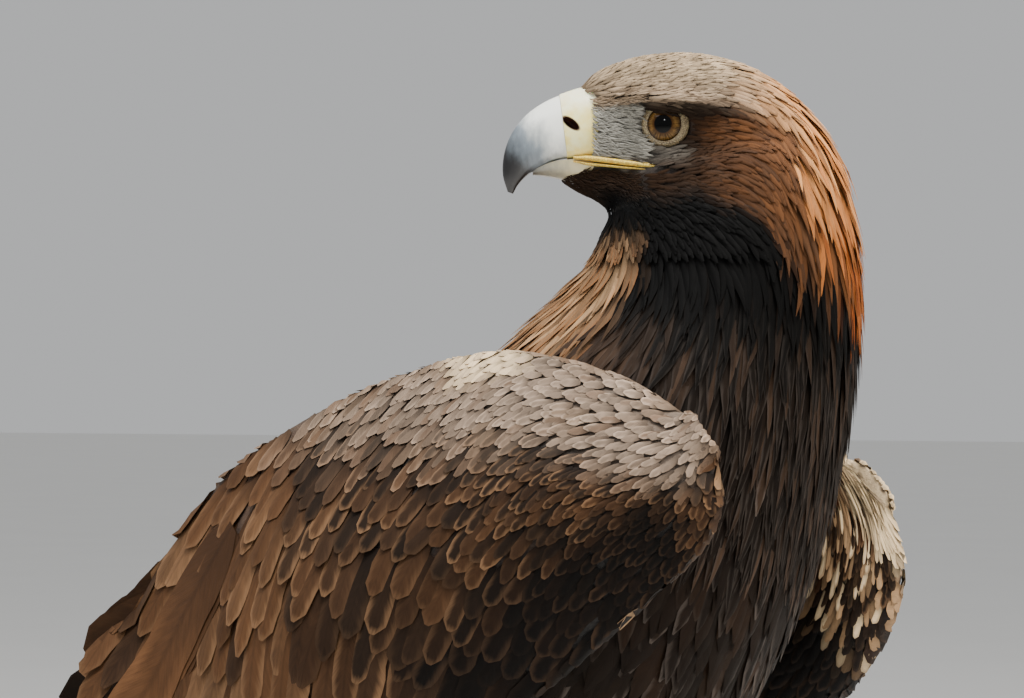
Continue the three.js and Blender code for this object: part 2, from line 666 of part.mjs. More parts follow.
const wingLow = curveThrough(WING_LOW);
const wingHigh = curveThrough(WING_HIGH);
const droopShare = curveThrough(DROOP_SHARE);
const wingCrest = curveThrough(WING_CREST);
const wingUpper = curveThrough(WING_UPPER);
const noseDrop = curveThrough(WING_NOSE_DROP);
const wingRound = curveThrough(WING_ROUND);
const wingThick = curveThrough(WING_THICK);
const primaryTips = curveThrough(PRIMARY_TIPS);

// The leading edge and the upper edge of a wing at p.
function wingEdges(wing, p) {
  const opened = clamp((p - SPREAD_FROM) / (SPREAD_FULL - SPREAD_FROM), 0, 1) ** 2;
  return [wingLow(p) - wing.droop * droopShare(p), wingHigh(p) + wing.spread * opened];
}

// How far the outer face of a wing stands from the middle of the bird.
function wingLateral(wing, p, q) {
  const [low, high] = wingEdges(wing, p);
  const v = clamp((q - low) / (high - low), 0, 1);
  const crest = wingCrest(p);
  const upper = wingUpper(p);
  const rise = Math.sin((Math.PI / 2) * Math.min(1, v / CREST_SHARE));
  const fall = Math.cos((Math.PI / 2) * Math.max(0, (v - CREST_SHARE) / (1 - CREST_SHARE)));
  const padded = v < CREST_SHARE ? crest - noseDrop(p) * (1 - rise) : lerp(upper, crest, fall);
  return lerp(lerp(crest, upper, v), padded, wingRound(p));
}

// A point of a wing, standing `lift` off its outer face.
function wingPoint(side, p, q, lift) {
  const wing = WINGS[side];
  const start = degrees(wing.front);
  const bend = degrees(wing.front - wing.rear) / (WING_LONG - WING_STRAIGHT);
  const straight = Math.min(p, WING_STRAIGHT);
  const angle = start - bend * Math.max(p - WING_STRAIGHT, 0);
  const along = straight * Math.cos(start) + (Math.sin(start) - Math.sin(angle)) / bend;
  const down = straight * Math.sin(start) + (Math.cos(angle) - Math.cos(start)) / bend;
  const lateral = wingLateral(wing, p, q) + wing.out + lift;
  const forward = wing.forward - along - q * Math.sin(angle);
  return place(forward, side * lateral, wing.up - down + q * Math.cos(angle));
}

// The fleshy part of a wing: its outer face, and an inner face that comes to it at both edges.
function wingCore(side) {
  return loft(
    WING_CUTS.map((p) => {
      const [low, high] = wingEdges(WINGS[side], p);
      return Array.from({ length: 2 * WING_SIDES }, (_, j) => {
        const outer = j <= WING_SIDES;
        const turn = (Math.PI * (outer ? j : 2 * WING_SIDES - j)) / WING_SIDES;
        const share = 0.5 - 0.5 * Math.cos(turn);
        const body = Math.min(1, 1.3 * Math.sin(turn));
        return wingPoint(side, p, lerp(low, high, share), outer ? 0 : -wingThick(p) * body);
      });
    }),
  );
}

// The width of a feather along its length: a narrow root, full sides and a rounded tip.
function vaneWidth(share, point) {
  const root = 0.45 + 0.55 * Math.min(1, share / 0.25);
  const left = clamp((1 - share) / point, 0, 1);
  return root * lerp(0.16, 1, Math.sqrt(1 - (1 - left) ** 2));
}

// Where a feather is cut across: evenly, or at the steps that all flight feathers share.
function cutPlaces(start, end, point, cuts) {
  if (cuts) return Array.from({ length: cuts + 1 }, (_, i) => lerp(start, end, i / cuts));
  const round = lerp(end, start, point);
  const places = [];
  for (let p = FLIGHT_CUTS.from; p < round - FLIGHT_CUTS.last; p += FLIGHT_CUTS.step) places.push(p);
  return [...places, round, lerp(round, end, 0.62), end];
}

// The i-th feather of a tier of a wing.
function wingFeather(side, tier, i, kind) {
  const wing = WINGS[side];
  const t = i / (tier.count - 1);
  const between = (pair) => (pair ? lerp(...pair, t) : 0);
  const odd = i % 2;
  const start = between(tier.p);
  const lean = degrees(between(tier.lean) + wing.fan * between(tier.turn));
  const root = between(tier.q) - wing.droop * between(tier.drop) + wing.spread * between(tier.open);
  const q = root + (tier.stagger ? tier.stagger.q * odd : 0);
  const long = tier.long ? between(tier.long) + (tier.ragged ?? 0) * draw(i, kind) : primaryTips(t) - start;
  const half = between(tier.half) + (tier.wider ? WIDER_BY_FAN * wing.fan : 0);
  const [rootLift, tipLift] = tier.lift.map((lift, k) => lift + (tier.layer ? tier.layer[k] * i : 0));
  const raised = tier.stagger ? tier.stagger.lift * odd : 0;
  const end = start + long * Math.cos(lean);
  return vane(
    cutPlaces(start, end, tier.point, tier.cuts).map((p) => {
      const share = (p - start) / (end - start);
      const wide = half * vaneWidth(share, tier.point);
      const centre = q + Math.tan(lean) * (p - start);
      const lift = lerp(rootLift, tipLift + raised, Math.min(1, share / ROOT_RISE));
      const corners = [[1, 1], [-1, 1], [-1, -1], [1, -1]];
      return corners.map(([edge, face]) =>
        wingPoint(side, p, centre + edge * wide, lift + (face * FEATHER_THICK) / 2),
      );
    }),
  );
}

function wingSolid(side, neighbours) {
  const feathers = Object.values(TIERS).flatMap((tier, kind) =>
    Array.from({ length: tier.count }, (_, i) => wingFeather(side, tier, i, kind)),
  );
  const whole = wasm.Manifold.union([wingCore(side), ...feathers]);
  return largest(neighbours.reduce((solid, other) => solid.subtract(other), whole));
}

// Tail

const tailStart = place(trunk.forward(9), 0, trunk.up(9));
const tailWay = place(-Math.cos(degrees(TAIL_FALL)), 0, -Math.sin(degrees(TAIL_FALL)));
const tailUp = place(-Math.sin(degrees(TAIL_FALL)), 0, Math.cos(degrees(TAIL_FALL)));
const tailPoint = (along, left, lift) =>
  tailStart.clone().addScaledVector(tailWay, along).addScaledVector(tailUp, lift).add(place(0, left, 0));

function tailVane({ from, left, lean, long, half, lift, rise, point }) {
  const cuts = 3;
  return vane(
    Array.from({ length: cuts + 1 }, (_, i) => {
      const share = i / cuts;
      const centre = left + Math.tan(degrees(lean)) * share * long;
      const wide = half * vaneWidth(share, point);
      const height = lift + rise * Math.min(1, share / ROOT_RISE);
      const corners = [[1, 1], [-1, 1], [-1, -1], [1, -1]];
      return corners.map(([edge, face]) =>
        tailPoint(from + long * share, centre + edge * wide, height + (face * FEATHER_THICK) / 2),
      );
    }),
  );
}

function tailFeathers() {
  const made = [];
  for (let pair = 0; pair < TAIL.pairs; pair++)
    for (const side of SIDES)
      made.push({
        from: TAIL.start,
        left: side * (TAIL.apart + TAIL.aside * pair),
        lean: side * TAIL.fan * (pair + 0.2),
        long: TAIL.long - TAIL.shorter * pair,
        half: TAIL.half,
        lift: TAIL_TOP - TAIL_STEP * made.length,
        rise: 0,
        point: 0.12,
      });
  return made;
}

function tailCoverts({ count, long, lift, away }) {
  return Array.from({ length: count }, (_, k) => {
    const across = (2 * k) / (count - 1) - 1;
    const odd = k % 2;
    return {
      from: TAIL_COVERT.start + TAIL_COVERT.step * odd,
      left: across * TAIL_COVERT.spread,
      lean: across * TAIL_COVERT.lean,
      long: long * (1 - TAIL_COVERT.shorter * Math.abs(across)),
      half: TAIL_COVERT.half,
      lift,
      rise: away * (TAIL_COVERT.rise - TAIL_COVERT.curve * Math.abs(across) - 0.6 * odd),
      point: 0.4,
    };
  });
}

// Legs

const legPoint = (side, [forward, up], share, [toForward, toUp]) =>
  place(lerp(forward, toForward, share), side * LEG.apart, lerp(up, toUp, share));

function thighForm(side, out = 0) {
  return loft(
    THIGH.map(({ share, deep, half }) =>
      Array.from({ length: THIGH_SIDES }, (_, j) => {
        const turn = (2 * Math.PI * j) / THIGH_SIDES;
        const ahead = (deep + out) * Math.cos(turn);
        const offset = place(ahead, (half + out) * Math.sin(turn), -THIGH_SLOPE * ahead);
        return legPoint(side, LEG.knee, share, LEG.hock).add(offset);
      }),
    ),
  );
}

function shankForm(side) {
  return tube(
    SHANK.map(([share, radius]) => [legPoint(side, LEG.hock, share, LEG.ankle), radius]),
    SHANK_SIDES,
  );
}

// Feet

// A point of a foot: along a heading from the ankle, to its left, and above the floor.
function footPoint(side, heading, along, left, up) {
  const angle = degrees(heading + LEG.turnOut);
  return place(
    LEG.ankle[0] + along * Math.cos(angle) - left * Math.sin(angle),
    side * (LEG.apart + along * Math.sin(angle) + left * Math.cos(angle)),
    up,
  );
}

// A round stack about the ankle through [height, radius] pairs.
function padStack(side, rings) {
  return loft(
    rings.map(([up, radius]) =>
      Array.from({ length: PAD.sides }, (_, j) => footPoint(side, (360 * j) / PAD.sides, radius, 0, up)),
    ),
  );
}

// A toe lies on the floor on a flat sole. Its upper side steps down over broad scutes towards the claw.
function toeForm(side, { heading, long, thick, joints }, out = 0) {
  const rings = [];
  for (let i = 0; i <= TOE.rings; i++) {
    const share = i / TOE.rings;
    const knuckle = 1 + TOE.knuckle * Math.cos(2 * Math.PI * joints * share);
    const taper = lerp(...TOE.taper, share) * (i === TOE.rings ? 0.8 : 1);
    const radius = thick * knuckle * taper + out;
    const scute = share > 0.45 && i % 2 ? TOE.scute : 1;
    rings.push(
      Array.from({ length: TOE.sides }, (_, j) => {
        const turn = (2 * Math.PI * j) / TOE.sides;
        const lobe = Math.cos(turn) > 0 ? scute : 1;
        const up = Math.max(-out, TOE.flat * radius * (1 + Math.cos(turn) * lobe) - TOE.sole);
        return footPoint(side, heading, lerp(TOE.start, long, share), radius * Math.sin(turn), up);
      }),
    );
  }
  return loft(rings);
}

function clawForm(side, { heading, long, thick, claw }) {
  const start = thick * 0.98;
  const rings = [];
  for (let i = 0; i <= CLAW.rings; i++) {
    const share = i / CLAW.rings;
    const bend = degrees(lerp(...CLAW.bend, share));
    const along = long + 0.4 + claw * CLAW.reach * Math.sin((Math.PI / 2) * share);
    const fall = (start - CLAW.low) * (1 - Math.cos((Math.PI / 2) * share));
    const up = start + CLAW.arch * Math.sin(0.9 * Math.PI * share) - fall;
    const radius = Math.max(CLAW.thick * (1 - CLAW.taper * share ** 1.3), CLAW.tip);
    rings.push(
      Array.from({ length: CLAW.sides }, (_, j) => {
        const turn = (2 * Math.PI * (j + 0.5)) / CLAW.sides;
        const rise = radius * Math.cos(turn);
        const height = up + rise * Math.max(Math.cos(bend), 0.15);
        const ahead = along - 0.7 * rise * Math.sin(bend);
        return footPoint(side, heading, ahead, 0.82 * radius * Math.sin(turn), Math.max(0.2, height));
      }),
    );
  }
  return loft(rings);
}

// The bird, node by node

const eagle = new THREE.Group();

function add(name, solid, finish) {
  const mesh = solid.getMesh();
  const shared = new THREE.BufferGeometry();
  shared.setAttribute("position", new THREE.BufferAttribute(new Float32Array(mesh.vertProperties), 3));
  shared.setIndex(new THREE.BufferAttribute(new Uint32Array(mesh.triVerts), 1));
  const geometry = shared.toNonIndexed();
  geometry.computeVertexNormals();
  const color = new THREE.Color(...COLOURS[finish]);
  const material = new THREE.MeshStandardMaterial({ color, roughness: ROUGHNESS[finish], metalness: 0 });
  const piece = new THREE.Mesh(geometry, material);
  piece.name = name;
  eagle.add(piece);
}

const nape = new THREE.Vector2(...NAPE_CUT.throat).sub(new THREE.Vector2(...NAPE_CUT.crown));
const napePlane = {
  point: onHead(NAPE_CUT.throat[0], 0, NAPE_CUT.throat[1]),
  normal: alongHead(-nape.y, 0, nape.x).normalize(),
};
const cerePlane = { point: onHead(CERE.back, 0, 0), normal: headForward };
const hornPlane = { point: onHead(CERE.front, 0, 0), normal: alongHead(1, 0, -CERE.slant) };
const neckPlane = trunkPlane(NECK_BASE_STATION);
const tailPlane = trunkPlane(TAIL_BASE_STATION);

function addHead() {
  const skull = wasm.Manifold.union([headForm(), ...SIDES.map(brow), ...SIDES.map(lidRing)]);
  let head = keepPast(keepPast(skull, napePlane, 1), cerePlane, -1);
  for (const side of SIDES) {
    head = head.subtract(ball(eyeMiddle(side), EYE_RADIUS + SOCKET_GAP));
    head = head.subtract(lip(side, true, GAP)).subtract(lip(side, false, GAP));
  }
  add("head", largest(head), "crown");
  for (const side of SIDES) add(`eye_${SIDE_NAMES[side]}`, ball(eyeMiddle(side), EYE_RADIUS), "eye");
}

function addBill() {
  const whole = billForm();
  let cere = keepPast(keepPast(whole, cerePlane, 1), hornPlane, -1);
  for (const side of SIDES) cere = cere.add(lip(side, true)).subtract(nostril(side));
  add("cere", largest(cere), "skin");
  add("bill_upper", largest(keepPast(whole, hornPlane, 1)), "horn");
  const above = spaced(whole, [headLeft, headLeft.clone().negate(), UP.clone().negate()]);
  const lower = keepPast(lowerBillForm(), cerePlane, 1).subtract(above);
  const lips = SIDES.map((side) => lip(side, false));
  add("bill_lower", largest(wasm.Manifold.union([lower, ...lips])), "horn");
}

// The trunk in three nodes, with the hackles on the neck and the feathers on the tail. Returns the space
// that the torso's neighbours are cut clear of.
function addTrunk() {
  const whole = trunkForm();
  const torsoSpace = keepPast(keepPast(trunkForm(GAP), neckPlane, -1), tailPlane, 1);
  const throat = keepPast(keepPast(wasm.Manifold.union([headForm(), whole]), napePlane, -1), neckPlane, 1);
  const neck = wasm.Manifold.union([throat, ...hackles()]).subtract(torsoSpace);
  add("neck", largest(keepPast(neck, napePlane, -1)), "hackle");
  add("torso", largest(keepPast(keepPast(whole, neckPlane, -1), tailPlane, 1)), "breast");
  const vanes = [...tailFeathers(), ...TAIL_COVERTS.flatMap(tailCoverts)].map(tailVane);
  const tail = wasm.Manifold.union([keepPast(whole, tailPlane, -1), ...vanes]);
  add("tail", largest(tail.subtract(torsoSpace)), "tail");
  return torsoSpace;
}

function addLeg(side, torsoSpace) {
  const name = SIDE_NAMES[side];
  const shinPlane = {
    point: legPoint(side, LEG.knee, 1, LEG.hock),
    normal: place(LEG.knee[0] - LEG.hock[0], 0, LEG.knee[1] - LEG.hock[1]),
  };
  const anklePlane = { point: place(0, 0, PAD.high), normal: UP };
  const thigh = keepPast(thighForm(side).subtract(torsoSpace), shinPlane, 1);
  add(`thigh_${name}`, largest(thigh), "thigh");
  const shank = shankForm(side).subtract(keepPast(thighForm(side, GAP), shinPlane, 1));
  add(`shank_${name}`, largest(keepPast(shank, anklePlane, 1)), "shank");
  const padRings = PAD_RINGS.map(([up, share]) => [up, PAD.radius * share]);
  add(`foot_${name}`, keepPast(padStack(side, padRings), anklePlane, -1), "skin");
  const padSpace = padStack(side, [-1, PAD.high + 1].map((up) => [up, PAD.radius * PAD_WIDEST + GAP]));
  for (const [toe, sizes] of Object.entries(TOES)) {
    let form = toeForm(side, sizes).subtract(padSpace);
    if (toe === "inner" || toe === "outer") form = form.subtract(toeForm(side, TOES.middle, GAP));
    add(`toe_${toe}_${name}`, largest(form), "skin");
    add(`claw_${toe}_${name}`, clawForm(side, sizes), "claw");
  }
}

addHead();
addBill();
const torsoSpace = addTrunk();
for (const side of SIDES) addLeg(side, torsoSpace);
for (const side of SIDES) {
  const wing = wingSolid(side, [torsoSpace, thighForm(side, GAP)]);
  add(`wing_${SIDE_NAMES[side]}`, wing, "wing");
}

// The origin is on the floor below the middle of the bird's box.
const box = new THREE.Box3().setFromObject(eagle);
const middle = box.getCenter(new THREE.Vector3());
eagle.position.set(-middle.x, -middle.y, -box.min.z);

export default eagle;
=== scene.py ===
"""The looks of a life-size golden eagle that stands with its head turned back over its right shoulder.

Lengths are in millimetres, as the bird's own sizes are, and become metres where a mesh is made. A place on
the body is (forward, left, up): towards the breast, towards the left wing and above the floor.
"""
from __future__ import annotations

import logging
import math
from collections.abc import Callable, Sequence
from dataclasses import dataclass, field
from enum import Enum

import bmesh
import bpy
import numpy as np
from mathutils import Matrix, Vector
from mathutils.bvhtree import BVHTree
from mathutils.kdtree import KDTree

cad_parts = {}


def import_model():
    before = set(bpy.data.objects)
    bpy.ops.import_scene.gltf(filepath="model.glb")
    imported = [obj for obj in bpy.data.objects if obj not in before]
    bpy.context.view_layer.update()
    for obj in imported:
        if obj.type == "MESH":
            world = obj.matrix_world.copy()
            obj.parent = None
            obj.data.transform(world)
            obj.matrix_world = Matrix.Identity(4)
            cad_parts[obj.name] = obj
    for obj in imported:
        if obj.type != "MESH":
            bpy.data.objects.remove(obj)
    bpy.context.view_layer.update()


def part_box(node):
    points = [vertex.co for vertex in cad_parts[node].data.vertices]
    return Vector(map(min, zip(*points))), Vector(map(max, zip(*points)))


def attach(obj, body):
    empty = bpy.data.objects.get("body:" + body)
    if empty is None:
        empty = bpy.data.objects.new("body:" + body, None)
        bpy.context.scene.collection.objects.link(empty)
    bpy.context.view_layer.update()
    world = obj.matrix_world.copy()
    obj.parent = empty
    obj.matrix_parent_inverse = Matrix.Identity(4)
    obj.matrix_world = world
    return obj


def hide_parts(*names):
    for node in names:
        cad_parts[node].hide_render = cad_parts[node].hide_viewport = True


log = logging.getLogger("eagle")

MM = 0.001
BODY = "root"
UP = np.array([0.0, 0.0, 1.0])
Array = np.ndarray
Pair = tuple[Array, Array]
Trio = tuple[Array, Array, Array]
Span = tuple[float, float]
Spot = tuple[float, float, float]
Pairs = Sequence[Span]
Colour = Spot
Piece = bpy.types.Object


class Side(Enum):
    """The bird's own right and left."""

    RIGHT = -1
    LEFT = 1

    @property
    def word(self) -> str:
        """The side's name in a piece's name."""
        return self.name.lower()


def srgb(red: int, green: int, blue: int) -> Colour:
    """A colour as shaders take it, from 0 to 255 display values."""
    return tuple((value / 255) ** 2.2 for value in (red, green, blue))


class Curve:
    """A smooth curve through pairs of a place and a value, held level past its ends."""

    def __init__(self, pairs: Pairs) -> None:
        """Works out the slopes.

        Args:
            pairs: places in rising order, each with its value.
        """
        self.x = np.array([pair[0] for pair in pairs], float)
        self.y = np.array([pair[1] for pair in pairs], float)
        last = len(self.x) - 1
        before = np.maximum(np.arange(last + 1) - 1, 0)
        after = np.minimum(np.arange(last + 1) + 1, last)
        self.slope = (self.y[after] - self.y[before]) / (self.x[after] - self.x[before])

    def __call__(self, at: Array | float) -> Array:
        """The curve's values.

        Args:
            at: places on it.

        Returns:
            One value for each place.
        """
        x = np.clip(at, self.x[0], self.x[-1])
        i = np.clip(np.searchsorted(self.x, x, side="right") - 1, 0, len(self.x) - 2)
        span = self.x[i + 1] - self.x[i]
        t = (x - self.x[i]) / span
        bend = t * t * (3 - 2 * t)
        rise = t * (1 - t) ** 2 * span * self.slope[i]
        fall = t * t * (t - 1) * span * self.slope[i + 1]
        return self.y[i] * (1 - bend) + self.y[i + 1] * bend + rise + fall


def curve(*pairs: Span) -> Curve:
    """A dataclass field with a curve through pairs of a place and a value."""
    return field(default_factory=lambda: Curve(pairs))


def curves_of(stations: Sequence[Sequence[float]]) -> list[Curve]:
    """One curve for each column of a list of stations, run by the station's number."""
    return [Curve(list(enumerate(column))) for column in zip(*stations)]


def place(forward: Array, left: Array, up: Array) -> Array:
    """Points from distances towards the breast, towards the left wing and above the floor."""
    return np.stack(np.broadcast_arrays(left, -np.asarray(forward), up), axis=-1).astype(float)


def unit(vectors: Array) -> Array:
    """The same directions with a length of one."""
    return vectors / np.maximum(np.linalg.norm(vectors, axis=-1, keepdims=True), 1e-9)


def lerp(low: Array, high: Array, share: Array) -> Array:
    """A value the given share of the way from low to high."""
    return low + (high - low) * share


def ease(low: float, high: float, x: Array) -> Array:
    """0 below low, 1 above high, and a smooth rise between them."""
    t = np.clip((x - low) / (high - low), 0, 1)
    return t * t * (3 - 2 * t)


def dots(a: Array, b: Array) -> Array:
    """The dot product of each pair of rows."""
    return np.sum(a * b, axis=-1)


def nearest_of(sources: Array, points: Array) -> list[int]:
    """The number of the source that is nearest to each point."""
    tree = KDTree(len(sources))
    for number, source in enumerate(sources):
        tree.insert(source, number)
    tree.balance()
    return [tree.find(point)[1] for point in points]


def ring_grid(first: float, last: float, rings: int, sides: int) -> Pair:
    """Places along a form and angles round it, for rings of points."""
    return np.meshgrid(np.linspace(first, last, rings), np.arange(sides) * 2 * np.pi / sides, indexing="ij")


def hang(slot: str, pieces: Sequence[Piece], *nodes: str) -> None:
    """Ties pieces to the body.

    Args:
        slot: the record's material slot for their finish; not used.
        pieces: the pieces.
        nodes: the nodes that the first of them replaces.
    """
    for piece in pieces:
        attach(piece, BODY)
    if nodes:
        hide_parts(*nodes)


def node_of(piece: Piece) -> str:
    """The node with a piece's own name."""
    return piece.name.split(".")[0]


# The bird's form


@dataclass
class Trunk:
    """One long form from inside the head to the root of the tail."""

    stations: tuple = (  # forward, up, back, breast, half of the width
        (62, 566, 40, 50, 38), (66, 540, 47, 56, 47), (64, 506, 60, 60, 57), (50, 465, 74, 68, 76),
        (18, 405, 95, 80, 90), (-28, 346, 118, 84, 93), (-84, 292, 112, 74, 82), (-138, 250, 82, 52, 61),
        (-180, 222, 42, 30, 43), (-232, 190, 12, 13, 33), (-290, 155, 4, 5, 27),
    )
    rings: int = 60
    sides: int = 48

    def __post_init__(self) -> None:
        """Turns the stations into curves."""
        self.forward, self.up, self.back, self.breast, self.half = curves_of(self.stations)

    def ahead(self, station: Array) -> Array:
        """The direction towards the head at a station."""
        step = 0.01
        run = place(
            self.forward(station - step) - self.forward(station + step),
            0,
            self.up(station - step) - self.up(station + step),
        )
        return unit(run)

    def point(self, station: Array, turn: Array) -> Array:
        """Points of the trunk's surface.

        Args:
            station: the station's number, with its share of the way to the next.
            turn: degrees round it, from 0 on the spine over 90 on the left flank to 180 on the breast.

        Returns:
            The points, in millimetres.
        """
        angle = np.radians(turn)
        ahead = self.ahead(station)
        back = np.stack([np.zeros_like(ahead[..., 0]), -ahead[..., 2], ahead[..., 1]], axis=-1) * -1
        depth = np.where(np.cos(angle) > 0, self.back(station), self.breast(station)) * np.cos(angle)
        middle = place(self.forward(station), self.half(station) * np.sin(angle), self.up(station))
        return middle + back * depth[..., None]

    def ring_points(self) -> Array:
        """The trunk as rings of points."""
        station, turn = ring_grid(0, len(self.stations) - 1, self.rings, self.sides)
        return self.point(station, np.degrees(turn))

    def station_near(self, points: Array) -> Array:
        """The number of the station whose middle is nearest to each point."""
        numbers = np.linspace(0, len(self.stations) - 1, 200)
        line = place(self.forward(numbers), 0, self.up(numbers))
        gaps = np.linalg.norm((points[:, None, 1:] - line[None, :, 1:]), axis=-1)
        return numbers[np.argmin(gaps, axis=1)]


@dataclass
class HeadForm:
    """The head's own form and frame: x towards the bill, y towards its left, z up, from between the eyes."""

    turn: float = 156.0
    middle: Spot = (47.3, -7.9, 581.0)
    eye_deep: float = 16.2
    stations: tuple = (  # x, top, bottom, half of the width, height where it is widest
        (34, 19.5, -26.5, 12.6, -4), (26, 24.4, -33, 16.5, -4), (14, 28.4, -41, 21, -4),
        (0, 30.4, -46, 25.2, -6), (-16, 29.6, -43, 30, -8), (-34, 24, -45, 33.5, -10),
        (-50, 13, -47, 33, -16), (-63, -2, -48, 29, -24), (-72, -20, -46, 18, -34),
    )
    rings: int = 40
    sides: int = 40

    def __post_init__(self) -> None:
        """Works out the head's own directions."""
        angle = math.radians(self.turn)
        self.ahead = place(math.cos(angle), -math.sin(angle), 0)
        self.left = place(math.sin(angle), math.cos(angle), 0)
        self.origin = place(*self.middle)
        self.x, self.top, self.bottom, self.half, self.wide = curves_of(self.stations)

    def at(self, x: Array, y: Array, z: Array) -> Array:
        """Points from the head's own coordinates."""
        x, y, z = (np.asarray(value, float)[..., None] for value in (x, y, z))
        return self.origin + x * self.ahead + y * self.left + z * UP

    def way(self, x: float, y: float, z: float) -> Array:
        """A direction from the head's own coordinates."""
        return unit(x * self.ahead + y * self.left + z * UP)

    def eye(self, side: Side) -> Array:
        """The middle of an eye."""
        return self.at(0, side.value * self.eye_deep, 0)

    def off_gaze(self, side: Side, points: Array) -> Pair:
        """How far points lie off the line of an eye's gaze, and how far along it."""
        way, offset = self.gaze(side), points - self.eye(side)
        along = offset @ way
        return np.linalg.norm(offset - way * along[:, None], axis=1), along

    def gaze(self, side: Side, forward: float = 17.0) -> Array:
        """The direction in which an eye looks: outwards and a little towards the bill."""
        angle = math.radians(forward)
        return self.way(math.sin(angle), side.value * math.cos(angle), 0)

    def own(self, points: Array) -> Trio:
        """The head's own coordinates of points."""
        offset = points - self.origin
        return offset @ self.ahead, offset @ self.left, offset[..., 2]

    def ring_points(self) -> Array:
        """The head as rings of points."""
        station, turn = ring_grid(0, len(self.stations) - 1, self.rings, self.sides)
        wide = self.wide(station)
        reach = np.where(np.cos(turn) > 0, self.top(station) - wide, wide - self.bottom(station))
        return self.at(self.x(station), self.half(station) * np.sin(turn), wide + reach * np.cos(turn))

    def cheek(self, x: Array, z: Array) -> Array:
        """How far the cheek stands off the middle of the head at x and z."""
        places = np.array([row[0] for row in self.stations], float)
        station = np.interp(-np.asarray(x, float), -places, np.arange(len(places)))
        wide = self.wide(station)
        reach = np.where(z > wide, self.top(station) - wide, wide - self.bottom(station))
        share = np.clip((z - wide) / reach, -0.98, 0.98)
        return self.half(station) * np.sqrt(1 - share**2)


